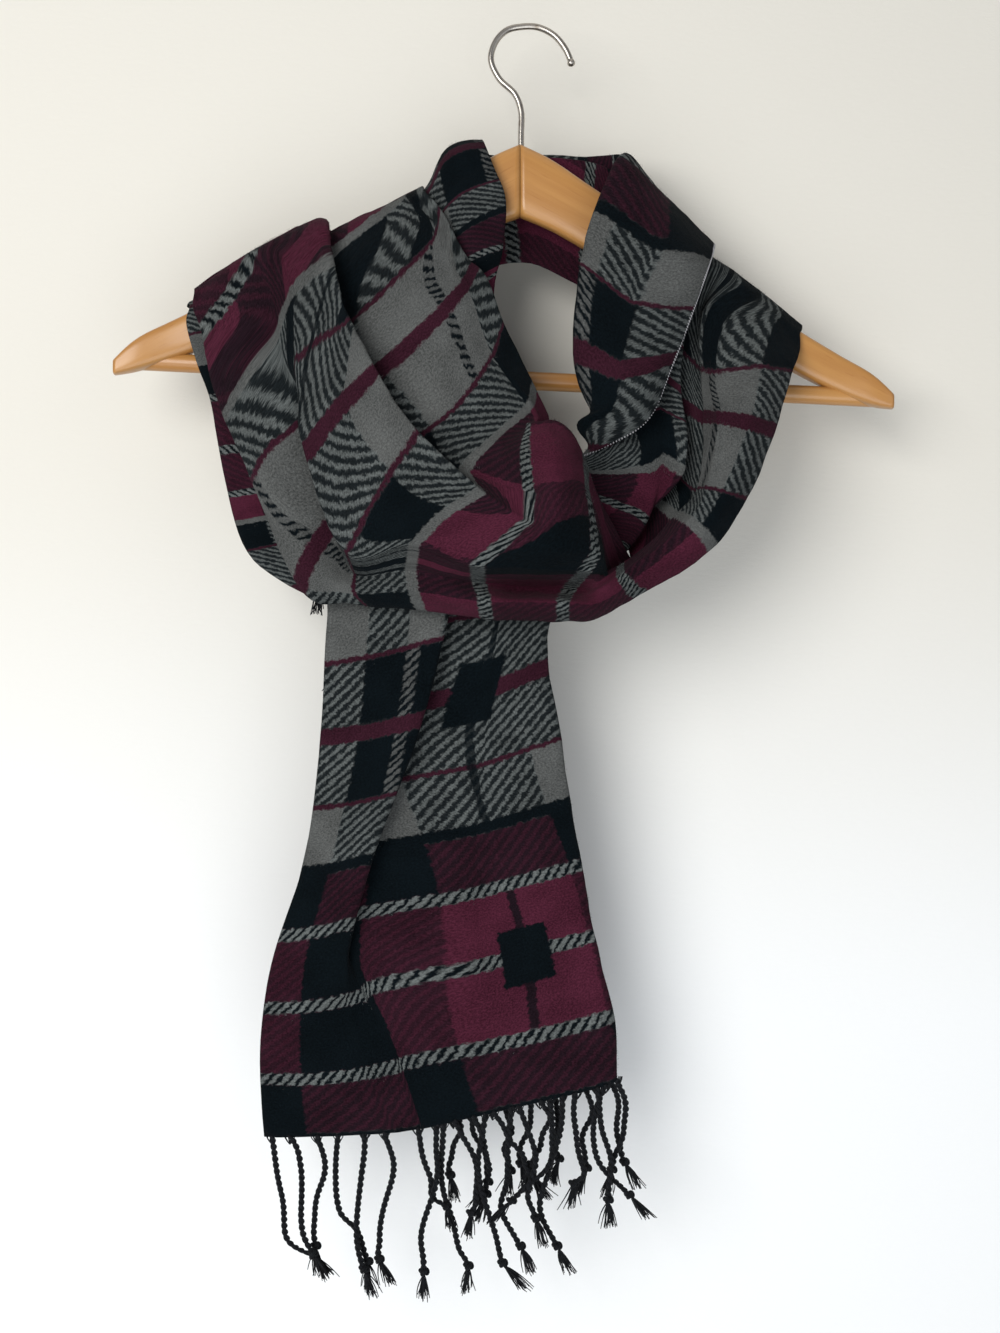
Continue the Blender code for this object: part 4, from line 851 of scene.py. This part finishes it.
    def field(self, g: Graph, twill: object, p: object) -> object:
        """The twill's light: plain diagonals in the grey rows, and subdued ones in the wine."""
        wine = g.ramp(p, WINE_ROW[0] - 1, WINE_ROW[0] + 1)
        bright = g.ramp(p, BRIGHT_ROW[0] - 1, BRIGHT_ROW[0] + 1)
        calm = g.add(0.18, g.times(bright, 0.14), g.times(twill, 0.42))
        return g.add(g.times(g.less(wine), twill), g.times(wine, calm))

    def diagonals(self, g: Graph, u: object, v: object) -> object:
        """The twill's light diagonals, broken into short floats."""
        lean = g.math("SUBTRACT", v, g.times(u, 0.9))
        wave = g.math("SINE", g.times(lean, 2 * math.pi / TWILL))
        floats = g.math("SINE", g.times(g.add(u, g.times(v, 0.9)), 2 * math.pi / self.float_period))
        return g.add(0.05, g.times(0.62, g.ramp(g.add(wave, g.times(floats, 0.3)), -0.7, 1.2)))

    def rope(self, g: Graph, u: object, v: object) -> object:
        """The slanting strands of a two-coloured rope."""
        lean = g.math("SUBTRACT", u, g.times(v, 0.8))
        wave = g.math("SINE", g.times(lean, 2 * math.pi / self.rope_period))
        return g.times(0.8, g.ramp(wave, -0.9, 0.8))


@dataclass(frozen=True)
class Yarn:
    """Black fringe yarn."""

    colour: tuple = (0.0035, 0.004, 0.005)
    roughness: float = 0.8

    def material(self) -> bpy.types.Material:
        """Builds the yarn's fibre streaks."""
        g = Graph("fringe_yarn")
        streak = g.noise(g.place(), 900.0, 3.0, 0.7)
        lighter = tuple(4.0 * c for c in self.colour)
        g.bump(streak, 0.0003, 0.8)
        return g.finish(Base_Color=g.mix(g.ramp(streak, 0.35, 0.8), self.colour, lighter),
                        Roughness=self.roughness, Sheen_Weight=0.02, Specular_IOR_Level=0.12)


@dataclass(frozen=True)
class Beech:
    """Varnished beech with its fine flecks."""

    pale: tuple = (0.50, 0.255, 0.075)
    deep: tuple = (0.36, 0.155, 0.036)
    roughness: float = 0.3

    def material(self, name: str, slope: float) -> bpy.types.Material:
        """Builds the wood's grain.

        Args:
            name: the material's name.
            slope: fall of the piece per unit of its run, which the grain follows.

        Returns:
            The material.
        """
        g = Graph(name)
        x, y, z = g.parts(g.place())
        level = g.add(z, g.times(x, slope))
        long = g.vector(g.times(x, 6.0), g.times(y, 90.0), g.times(level, 90.0))
        grain = g.noise(long, 1.0, 5.0, 0.55)
        fleck = g.noise(g.vector(g.times(x, 60.0), g.times(y, 900.0), g.times(level, 900.0)), 1.0, 2.0)
        cloud = g.noise(g.place(), 14.0, 2.0)
        share = g.math("MINIMUM", g.add(g.times(g.ramp(grain, 0.3, 0.7), 0.6), g.times(cloud, 0.35),
                                        g.times(g.ramp(fleck, 0.6, 0.75), 0.35)), 1.0)
        g.bump(g.add(g.times(grain, 0.5), fleck), 0.00012, 0.5)
        return g.finish(Base_Color=g.mix(share, self.pale, self.deep),
                        Roughness=g.add(self.roughness, g.times(cloud, 0.12)),
                        Coat_Weight=0.35, Coat_Roughness=0.2)


@dataclass(frozen=True)
class Steel:
    """Plated hook wire, a little worn."""

    colour: tuple = (0.46, 0.43, 0.39)
    worn: tuple = (0.20, 0.16, 0.12)

    def material(self) -> bpy.types.Material:
        """Builds the steel's brushed wear."""
        g = Graph("plated_steel")
        wear = g.noise(g.place(), 160.0, 4.0, 0.6)
        scratch = g.noise(g.place(), 1400.0, 2.0)
        g.bump(scratch, 0.00005, 0.4)
        return g.finish(Base_Color=g.mix(g.ramp(wear, 0.55, 0.8), self.colour, self.worn),
                        Metallic=1.0, Roughness=g.add(0.2, g.times(wear, 0.18)))


@dataclass(frozen=True)
class Wallpaper:
    """Pale embossed wall behind the hanger, with painted shade: darker and warmer above, lighter and
    cooler below, as the light falls off upwards.
    """

    shaded_top: tuple = (0.72, 0.70, 0.64)
    lit_bottom: tuple = (0.86, 0.875, 0.88)

    def material(self) -> bpy.types.Material:
        """Builds the wall's embossed relief."""
        g = Graph("wallpaper")
        x, _, z = g.parts(g.place())
        weave = g.noise(g.vector(g.times(x, 160.0), 0.0, g.times(z, 420.0)), 1.0, 3.0, 0.6)
        g.bump(weave, 0.0006, 0.35)
        # painted shade: the wall's colour darkens and warms towards the top, where the light falls off
        low = g.ramp(z, -0.2, -0.62)
        return g.finish(Base_Color=g.mix(low, self.shaded_top, self.lit_bottom), Roughness=0.8,
                        Specular_IOR_Level=0.2)


def under_marks() -> dict[str, tuple]:
    """Place on the plaid of the strip under the loop, from its lengths and where it starts."""
    rows = np.array(list(UNDER_ROWS.values()), float)
    across = np.linalg.norm(np.diff(rows, axis=1), axis=-1).cumsum(axis=1)
    across = np.concatenate([np.zeros_like(across[:, :1]), across], axis=1) * UNDER_GATHERED
    length = np.linalg.norm(np.diff(rows, axis=0), axis=-1).mean(axis=1).cumsum()
    length = np.concatenate([[0.0], length])
    told = {"right crest": LOOP_MARKS["right crest"][0][0], **UNDER_ALONG}
    at = [length[list(UNDER_ROWS).index(name)] for name in told]
    along = np.interp(length, at, list(told.values()))
    along[length > at[-1]] += (length - at[-1])[length > at[-1]]
    return {name: ((along[k], along[k]), tuple(across[k])) for k, name in enumerate(UNDER_ROWS)}


@dataclass
class Stretch:
    """One strip of cloth with its nodes, its cut and how it hangs.

    Attributes:
        name: the piece's name.
        strip: the sections that it follows.
        outward: the face that lies outwards.
        nodes: the solids that it stands for.
        flat: width and length of what shows, laid flat, in metres; not used.
        steps: samples between lines, in half a fold's turn, and between rows.
        relief: how far its gentle waves rise, in millimetres.
        turned: the two rows between which it lies turned over.
        surface: its samples, once it is built.
    """

    name: str
    strip: Strip
    outward: Face
    nodes: tuple[str, ...]
    flat: tuple[float, float]
    steps: tuple[int, int, int]
    relief: float = 0.45
    turned: tuple[str, ...] = ()
    surface: Surface = field(init=False)

    def faces(self) -> np.ndarray:
        """Which face lies outwards, for each row of the surface."""
        per_row = self.steps[2]
        number = np.arange((len(self.strip.rows) - 1) * per_row + 1)[:, None] / per_row
        names = list(self.strip.rows)
        value = np.full_like(number, self.outward.value)
        if self.turned:
            between = [names.index(name) + 0.5 for name in self.turned]
            over = (number > between[0]) & (number < between[1])
            value = np.where(over, 1 - value, value)
        return value

    def build(self, paint: bpy.types.Material) -> bpy.types.Object:
        """Builds the closed shell: two faces and a rounded rim."""
        s = self.surface = self.strip.surface(*self.steps)
        rise = soft_waves(s.points, 26.0, len(self.name)) + 0.4 * soft_waves(s.points, 9.0, 5)
        middle = s.points + s.outward * (rise * self.relief)[..., None]
        half = s.outward * WALL / 2
        rows, columns = s.across.shape
        marks = np.stack([s.across, s.along, np.zeros_like(s.across)], -1)
        over, under = marks.copy(), marks.copy()
        face = self.faces()
        over[..., 2] = face
        under[..., 2] = 1 - face
        points = [(middle + half).reshape(-1, 3), (middle - half).reshape(-1, 3)]
        told = [over.reshape(-1, 3), under.reshape(-1, 3)]
        top = np.arange(rows * columns).reshape(rows, columns)
        low = top + rows * columns
        faces = [np.stack([top[:-1, :-1], top[1:, :-1], top[1:, 1:], top[:-1, 1:]], -1),
                 np.stack([low[:-1, :-1], low[:-1, 1:], low[1:, 1:], low[1:, :-1]], -1)]
        rim = np.concatenate([top[0, :-1], top[:-1, -1], top[-1, :0:-1], top[:0:-1, 0]])
        flat = middle.reshape(-1, 3)
        inside = np.concatenate([top[1, :-1], top[:-1, -2], top[-2, :0:-1], top[:0:-1, 1]])
        out = flat[rim] + unit(flat[rim] - flat[inside]) * WALL * 0.4
        ring = np.arange(len(rim)) + 2 * rows * columns
        points.append(out)
        told.append(marks.reshape(-1, 3)[rim] + [0, 0, 0.5])
        for a, b in ((rim, ring), (ring, rim + rows * columns)):
            faces.append(np.stack([a, np.roll(a, -1), np.roll(b, -1), b], -1))
        made = mesh_piece(self.name, np.concatenate(points),
                          np.concatenate([f.reshape(-1, 4) for f in faces]), paint)
        tell(made.data, "cloth", np.concatenate(told))
        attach(made, ROOT)
        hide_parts(*self.nodes)
        return made


@dataclass
class Scarf:
    """The scarf: three strips, the whipped selvedge, the brushed nap and the fringes.

    Attributes:
        pieces: every piece by its name.
        stretches: the three strips by their names.
        fibres: how many fibres of nap each strip gets.
        fibre_half: half the width of a fibre, in millimetres.
        stitch_pitch: from one stitch of the selvedge to the next.
        thread_radius: radius of the selvedge's thread.
    """

    pieces: dict[str, bpy.types.Object] = field(default_factory=dict)
    stretches: dict[str, Stretch] = field(default_factory=dict)
    fibres: tuple = (("loop", 26000), ("outer_wrap", 30000), ("inner_wrap", 5000))
    fibre_half: float = 0.055
    stitch_pitch: float = 1.7
    thread_radius: float = 0.32

    def strips(self) -> list[Stretch]:
        """Describes the three strips that follow one another along the scarf."""
        loop = Strip(LOOP_ROWS, LOOP_COLUMNS, LOOP_FOLDS, LOOP_MARKS, LOOP_MARKED)
        under = Strip(UNDER_ROWS, UNDER_COLUMNS, UNDER_FOLDS, under_marks(),
                      (UNDER_COLUMNS[0], UNDER_COLUMNS[-1]))
        run = Strip(RUN_ROWS, RUN_COLUMNS, RUN_FOLDS, RUN_MARKS, RUN_MARKED)
        return [
            Stretch("loop", loop, Face.REVERSE, ("left_panel", "cowl", "right_side"),
                    (0.16, 0.44), (9, 4, 9)),
            Stretch("inner_wrap", under, Face.REVERSE, ("neck_inner", "under_end"),
                    (0.15, 0.37), (9, 3, 8), 0.3, UNDER_TURNED),
            Stretch("outer_wrap", run, Face.FRONT, ("neck_outer", "right_flap", "tail"),
                    (0.18, 0.84), (9, 4, 8), 0.3, RUN_TURNED),
        ]

    def build(self) -> None:
        """Builds every piece of the scarf and logs how many points each strip has."""
        paint = Plaid().material()
        for stretch in self.strips():
            self.stretches[stretch.name] = stretch
            self.pieces[stretch.name] = stretch.build(paint)
            LOG.info("cloth %s: %d points", stretch.name, stretch.surface.across.size)
        self.build_nap(paint)
        self.build_selvedge()
        yarn = Yarn().material()
        tail = self.stretches["outer_wrap"].surface
        end = self.stretches["inner_wrap"].surface
        edge = tail.points[-1]
        turn = int(np.argmax(edge[:, 0]))
        for name, line, table, node in (
            ("tail_fringe", edge[:turn], FRINGE_TAIL, "fringe_tail"),
            ("turned_fringe", edge[turn:], hung_strands(TURNED_EDGE, TURNED_STRANDS),
             "fringe_turned"),
            ("hidden_fringe", end.points[-1], hidden_strands(), "fringe_hidden"),
        ):
            self.pieces[name] = Fringe(name, line, table, node).build(yarn)
            LOG.info("fringe %s: %d strands", name, len(table))

    def build_nap(self, paint: bpy.types.Material) -> None:
        """Scatters the short brushed fibres that blur the cloth's outline."""
        rng = np.random.default_rng(7)
        roots, marks, sides = [], [], []
        for name, share in self.fibres:
            stretch = self.stretches[name]
            s = stretch.surface
            i = rng.integers(1, s.across.shape[0] - 1, share)
            k = rng.integers(1, s.across.shape[1] - 1, share)
            side = np.where(rng.random(share) < 0.85, 1.0, -1.0)
            step = [s.points[i + 1, k] - s.points[i, k], s.points[i, k + 1] - s.points[i, k]]
            at = s.points[i, k] + step[0] * rng.random((share, 1)) + step[1] * rng.random((share, 1))
            roots.append(at + s.outward[i, k] * (side * WALL * 0.45)[:, None])
            sides.append(s.outward[i, k] * side[:, None])
            value = stretch.faces()[i, 0]
            face = np.where(side > 0, value, 1 - value)
            marks.append(np.stack([s.across[i, k], s.along[i, k], face], -1))
        roots, marks, sides = (np.concatenate(a) for a in (roots, marks, sides))
        count = len(roots)
        lean = unit(sides * 0.55 + rng.normal(size=(count, 3)) * 0.6)
        bend = unit(lean + rng.normal(size=(count, 3)) * 0.5)
        length = rng.uniform(0.7, 1.9, (count, 1))
        wide = unit(np.cross(lean, rng.normal(size=(count, 3)))) * self.fibre_half
        middle = roots + lean * length * 0.55
        tip = middle + bend * length * 0.45
        points = np.stack([roots - wide, roots + wide, middle + wide * 0.8, middle - wide * 0.8, tip], 1)
        n = 5 * np.arange(count)[:, None]
        faces = (n + [0, 1, 2, 3]).tolist() + (n + [3, 2, 4]).tolist()
        nap = mesh_piece("nap", points.reshape(-1, 3), faces, paint, smooth=False)
        tell(nap.data, "cloth", np.repeat(marks, 5, axis=0))
        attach(nap, ROOT)
        self.pieces["nap"] = nap

    def build_selvedge(self) -> None:
        """Whips a pale thread round the selvedge of the flap."""
        s = self.stretches["outer_wrap"].surface
        per_row = self.stretches["outer_wrap"].steps[2]
        names = list(RUN_ROWS)
        first, last = names.index("right crest") * per_row, names.index("under cowl") * per_row
        line = s.points[first:last, 0]
        out = unit(s.points[first:last, 0] - s.points[first:last, 2])
        side = s.outward[first:last, 0]
        length = np.concatenate([[0], np.cumsum(np.linalg.norm(np.diff(line, axis=0), axis=1))])
        at = np.arange(0, length[-1], 0.22)
        line, out, side = (np.stack([np.interp(at, length, a[:, k]) for k in range(3)], -1)
                           for a in (line, out, side))
        turn = (at * 2 * math.pi / self.stitch_pitch)[:, None]
        wound = line + out * (0.2 + 0.55 * np.cos(turn)) + side * (WALL * 0.62) * np.sin(turn)
        points, faces = tube_mesh(wound, np.full(len(wound), self.thread_radius), 5, 0)
        g = Graph("selvedge_thread")
        fibre = g.noise(g.place(), 2500.0, 2.0)
        g.bump(fibre, 0.0001, 0.5)
        paint = g.finish(Base_Color=g.mix(fibre, (0.20, 0.20, 0.21), (0.48, 0.47, 0.50)), Roughness=0.7)
        piece = mesh_piece("selvedge_stitches", points, faces, paint)
        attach(piece, ROOT)
        self.pieces["selvedge_stitches"] = piece


@dataclass
class Fringe:
    """A row of twisted two-ply strands, each with a knot and a tuft.

    Attributes:
        name: the piece's name.
        edge: the cloth's edge that it grows from.
        strands: root, two bends, knot and forward of each strand.
        node: the solid that it stands for.
        ply: radius of one ply, in millimetres.
        pitch: length of a ply's turn round the other.
        knot: size of the knot.
        tuft_long: length of the threads below the knot.
        tuft_threads: how many threads the tuft has.
        head_threads: how many of the cloth's threads gather into a strand.
    """

    name: str
    edge: np.ndarray
    strands: tuple
    node: str
    ply: float = 0.98
    pitch: float = 6.8
    knot: float = 1.5
    tuft_long: float = 15.0
    tuft_threads: int = 26
    head_threads: int = 9

    def build(self, paint: bpy.types.Material) -> bpy.types.Object:
        """Builds all strands as one piece."""
        edge = self.edge
        points, faces = [], []
        places = np.linspace(0, 1, 90)
        rng = np.random.default_rng(len(self.name))
        order = np.argsort(edge[:, 0])
        for root_x, x1, z1, x2, z2, knot_x, knot_z, forward in self.strands:
            root = np.array([np.interp(root_x, edge[order, 0], edge[order, k]) for k in range(3)])
            root[2] += 0.6
            front = root[1] - forward
            bends = np.array([root, (x1, (root[1] + front) / 2, z1), (x2, front, z2),
                              (knot_x, front, knot_z)])
            line = through(bends, chord_knots(bends, 0.8), places * (len(bends) - 1))
            ripple = np.sin(places * math.pi) * 1.1
            line[:, 0] += ripple * np.sin(places * rng.uniform(9, 14) + rng.uniform(0, 6))
            self.twist(line, points, faces, rng)
            self.tie(line[-5:], points, faces)
            down = line[-1] - line[-12]
            down[2] = min(down[2], -4.0)
            below = np.linspace(0, self.tuft_long, 8)[:, None]
            ends = line[-1] + unit(down * (0.6, 0.2, 1.0)) * below
            self.tuft(ends, points, faces, rng)
            self.gather(root, points, faces, rng)
        piece = mesh_piece(self.name, np.array(points), faces, paint)
        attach(piece, ROOT)
        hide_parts(self.node)
        return piece

    def add(self, path: np.ndarray, radii: np.ndarray, sides: int, points: list, faces: list) -> None:
        """Adds one thin tube to the piece."""
        new, its = tube_mesh(path, radii, sides, len(points))
        points += new
        faces += its

    def twist(self, line: np.ndarray, points: list, faces: list, rng: np.random.Generator) -> None:
        """Winds two plies round one another along a line."""
        length = np.concatenate([[0], np.cumsum(np.linalg.norm(np.diff(line, axis=0), axis=1))])
        at = np.arange(0, length[-1], 0.7)
        line = np.stack([np.interp(at, length, line[:, k]) for k in range(3)], -1)
        start = rng.uniform(0, 6.28)
        for half in (0.0, math.pi):
            turn = at * 2 * math.pi / self.pitch + start + half
            ring = np.stack([np.cos(turn), np.sin(turn), np.zeros_like(turn)], -1) * self.ply * 0.85
            swell = self.ply * (1 + 0.08 * np.sin(at * 1.7 + start))
            self.add(line + ring, swell, 6, points, faces)

    def tie(self, line: np.ndarray, points: list, faces: list) -> None:
        """Ties an overhand knot: a strand that passes round itself and through."""
        centre = line[len(line) // 2]
        t = np.linspace(0, 2 * math.pi, 40)
        size = self.knot
        loop = np.stack([np.sin(t) + 2 * np.sin(2 * t), np.cos(t) - 2 * np.cos(2 * t),
                         -1.3 * np.sin(3 * t)], -1) * size * 0.52
        self.add(centre + loop, np.full(40, self.ply * 1.05), 6, points, faces)

    def tuft(self, line: np.ndarray, points: list, faces: list, rng: np.random.Generator) -> None:
        """Lets the threads below the knot spread."""
        down = line[-1] - line[0]
        lean = rng.normal(size=3) * [3.0, 1.0, 0]
        for _ in range(self.tuft_threads):
            way = rng.normal(size=3) * [2.2, 1.5, 0] + lean
            t = np.linspace(0, 1, 7)[:, None]
            curl = rng.normal(size=3) * [0.6, 0.6, 0]
            path = line[0] + down * t * rng.uniform(0.75, 1.02) + way * t**0.8
            path = path + curl * np.sin(math.pi * t)
            self.add(path, np.linspace(0.42, 0.2, 7), 4, points, faces)

    def gather(self, root: np.ndarray, points: list, faces: list, rng: np.random.Generator) -> None:
        """Draws the cloth's own threads together into the strand's head."""
        for _ in range(self.head_threads):
            away = np.array([rng.uniform(-4.2, 4.2), rng.normal() * 0.3, 1.6])
            t = np.linspace(0, 1, 5)[:, None]
            path = root + away * (1 - t) + np.array([0, 0, -5.0]) * t
            path[:, 0] += (away[0] * 0.25) * np.sin(math.pi * t[:, 0])
            self.add(path, np.full(5, 0.28), 4, points, faces)


@dataclass
class Hanger:
    """The wooden hanger: two arms, a rail and the hook, in millimetres.

    Attributes:
        thick: thickness of the arms.
        rounding: share of the thickness that the rounded edges take.
        rail_radius: radius of the rail.
        wire_radius: radius of the hook's wire.
        joint_gap: gap between the two arms.
        rail_ends: x and z of the rail's two ends.
        sides: how many sides an arm's section has.
    """

    thick: float = 13.0
    rounding: float = 0.34
    rail_radius: float = 5.2
    wire_radius: float = 1.8
    joint_gap: float = 0.3
    rail_ends: tuple = ((-224.5, -189.4), (206.6, -211.2))
    sides: int = 40

    def build(self) -> None:
        """Builds the detailed hanger over its solids."""
        wood = Beech()
        for side, name in enumerate(("hanger_arm_left", "hanger_arm_right")):
            piece = self.arm(side, name + "_wood", wood.material(name + "_grain", (-0.55, 0.55)[side]))
            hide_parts(name)
            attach(piece, ROOT)
        rail = self.rail(wood.material("rail_grain", 0.05))
        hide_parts("hanger_rail")
        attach(rail, ROOT)
        hook = self.hook(Steel().material())
        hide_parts("hook")
        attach(hook, ROOT)
        LOG.info("hanger: two arms, rail and hook")

    def arm(self, side: int, name: str, paint: bpy.types.Material) -> bpy.types.Object:
        """Lofts one arm; side is 0 for left and 1 for right."""
        rows = arm_rows()[:, None, :]
        places = np.linspace(0, len(rows) - 1, 6 * (len(rows) - 1) + 1)
        rows = through(rows, np.cumsum(np.r_[0, np.diff(rows[:, 0, 0])**0.7]).reshape(-1, 1, 1),
                       places)[:, 0]
        sign = 1 if side else -1
        turn = np.linspace(0, 2 * math.pi, self.sides, endpoint=False)
        power = self.rounding * 1.6
        wave = np.stack([np.sign(np.cos(turn)) * abs(np.cos(turn))**power,
                         np.sign(np.sin(turn)) * abs(np.sin(turn))**power], -1)
        away = np.maximum(rows[:, 0] * ARM_REACH[side], self.joint_gap / 2)
        half = np.maximum(rows[:, 3], 6.0) / 2
        last = np.clip((rows[:, 0] - 0.93) / 0.07, 0, 1)
        thick = self.thick / 2 * (1 - 0.4 * last**2)
        points = np.stack([
            np.broadcast_to(sign * away[:, None], (len(rows), self.sides)),
            -rows[:, 4][:, None] + wave[None, :, 0] * thick[:, None],
            (rows[:, 1 + side] - half)[:, None] + wave[None, :, 1] * half[:, None],
        ], -1)
        number = np.arange(points.shape[0] * self.sides).reshape(-1, self.sides)
        nxt = np.roll(number, -1, axis=1)
        quads = np.stack([number[:-1], number[1:], nxt[1:], nxt[:-1]], -1).reshape(-1, 4)
        if side:
            quads = quads[:, ::-1]
        ends = [number[0].tolist(), number[-1, ::-1].tolist()]
        if side:
            ends = [end[::-1] for end in ends]
        return mesh_piece(name, points.reshape(-1, 3), quads.tolist() + ends, paint)

    def rail(self, paint: bpy.types.Material) -> bpy.types.Object:
        """Builds the round rail."""
        ends = np.array([[x, 0.0, z] for x, z in self.rail_ends])
        t = np.linspace(0, 1, 60)[:, None]
        points, faces = tube_mesh(ends[0] * (1 - t) + ends[1] * t, np.full(60, self.rail_radius), 32, 0)
        return mesh_piece("rail_wood", points, faces, paint)

    def hook(self, paint: bpy.types.Material) -> bpy.types.Object:
        """Sweeps the hook's wire and rounds its end."""
        wire = np.array([[x, 0.0, z] for x, z in HOOK_LINE])
        line = through(wire, chord_knots(wire, 0.5), np.linspace(0, len(wire) - 1, 160))
        radii = np.full(160, self.wire_radius)
        ball = np.clip((np.arange(160) - 148) / 11, 0, 1)
        radii = radii * (1 + 0.3 * np.sin(ball * math.pi)) * np.sqrt(np.clip(1 - ball**6, 0.02, 1))
        points, faces = tube_mesh(line, radii, 20, 0)
        return mesh_piece("hook_wire", points, faces, paint)


@dataclass
class Studio:
    """The wall, the lights and the camera, from the photograph's place, in metres.

    Attributes:
        distance: from the camera to the hanger's plane.
        aim: x and z of the picture's middle.
        view_height: height that the picture shows at the hanger's plane.
        wall: from the hanger's plane to the wall.
        wall_size: half of the wall's width and of its height.
        room: colour and strength of the room's own light.
    """

    distance: float = 0.80
    aim: tuple[float, float] = (-0.0115, -0.365)
    view_height: float = 0.765
    wall: float = 0.052
    wall_size: tuple[float, float] = (2.2, 1.8)
    room: tuple = ((0.93, 0.95, 1.0, 1.0), 0.24)

    def build(self) -> None:
        """Builds the wall, the lights and the camera."""
        self.build_wall()
        self.light("window", (-0.75, -1.4, -0.05), 1.1, 20.5, (1.0, 0.985, 0.96))
        self.light("fill", (1.3, -1.2, -0.3), 1.8, 4.0, (0.95, 0.97, 1.0))
        self.light("ceiling", (0.1, -0.6, 1.3), 1.2, 2.0, (1.0, 0.93, 0.82))
        self.light("low", (0.0, -1.3, -1.25), 1.5, 12.5, (0.95, 0.98, 1.0))
        bpy.context.scene.view_settings.view_transform = "Standard"
        world = bpy.data.worlds.new("room")
        world.use_nodes = True
        for socket, value in zip(world.node_tree.nodes["Background"].inputs, self.room):
            socket.default_value = value
        bpy.context.scene.world = world
        data = bpy.data.cameras.new("camera")
        data.sensor_fit = "VERTICAL"
        data.sensor_height = 36.0
        data.lens = 36.0 * self.distance / self.view_height
        data.clip_start = 0.01
        camera = bpy.data.objects.new("camera", data)
        camera.location = (self.aim[0], -self.distance, self.aim[1])
        camera.rotation_euler = (math.pi / 2, 0.0, 0.0)
        bpy.context.scene.collection.objects.link(camera)
        bpy.context.scene.camera = camera
        LOG.info("studio ready")

    def build_wall(self) -> None:
        """Stands the papered wall behind the hanger."""
        x, y, z = self.wall_size[0] / MM, self.wall / MM, self.wall_size[1] / MM
        points = [(-x, y, -z), (x, y, -z), (x, y, z), (-x, y, z)]
        wall = mesh_piece("wall", points, [[0, 1, 2, 3]], Wallpaper().material(), smooth=False)

    def light(self, name: str, place: tuple, size: float, power: float, colour: tuple) -> None:
        """Adds a large soft light that faces the scarf."""
        data = bpy.data.lights.new(name, "AREA")
        data.shape = "DISK"
        data.size, data.energy, data.color = size, power, colour
        lamp = bpy.data.objects.new(name, data)
        lamp.location = place
        to = Vector((self.aim[0], 0.0, self.aim[1])) - Vector(place)
        lamp.rotation_euler = to.to_track_quat("-Z", "Y").to_euler()
        bpy.context.scene.collection.objects.link(lamp)


def main() -> None:
    """Builds the studio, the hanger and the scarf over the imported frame."""
    logging.basicConfig(level=logging.INFO)
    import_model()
    Studio().build()
    Hanger().build()
    Scarf().build()


if __name__ == "__main__":
    main()
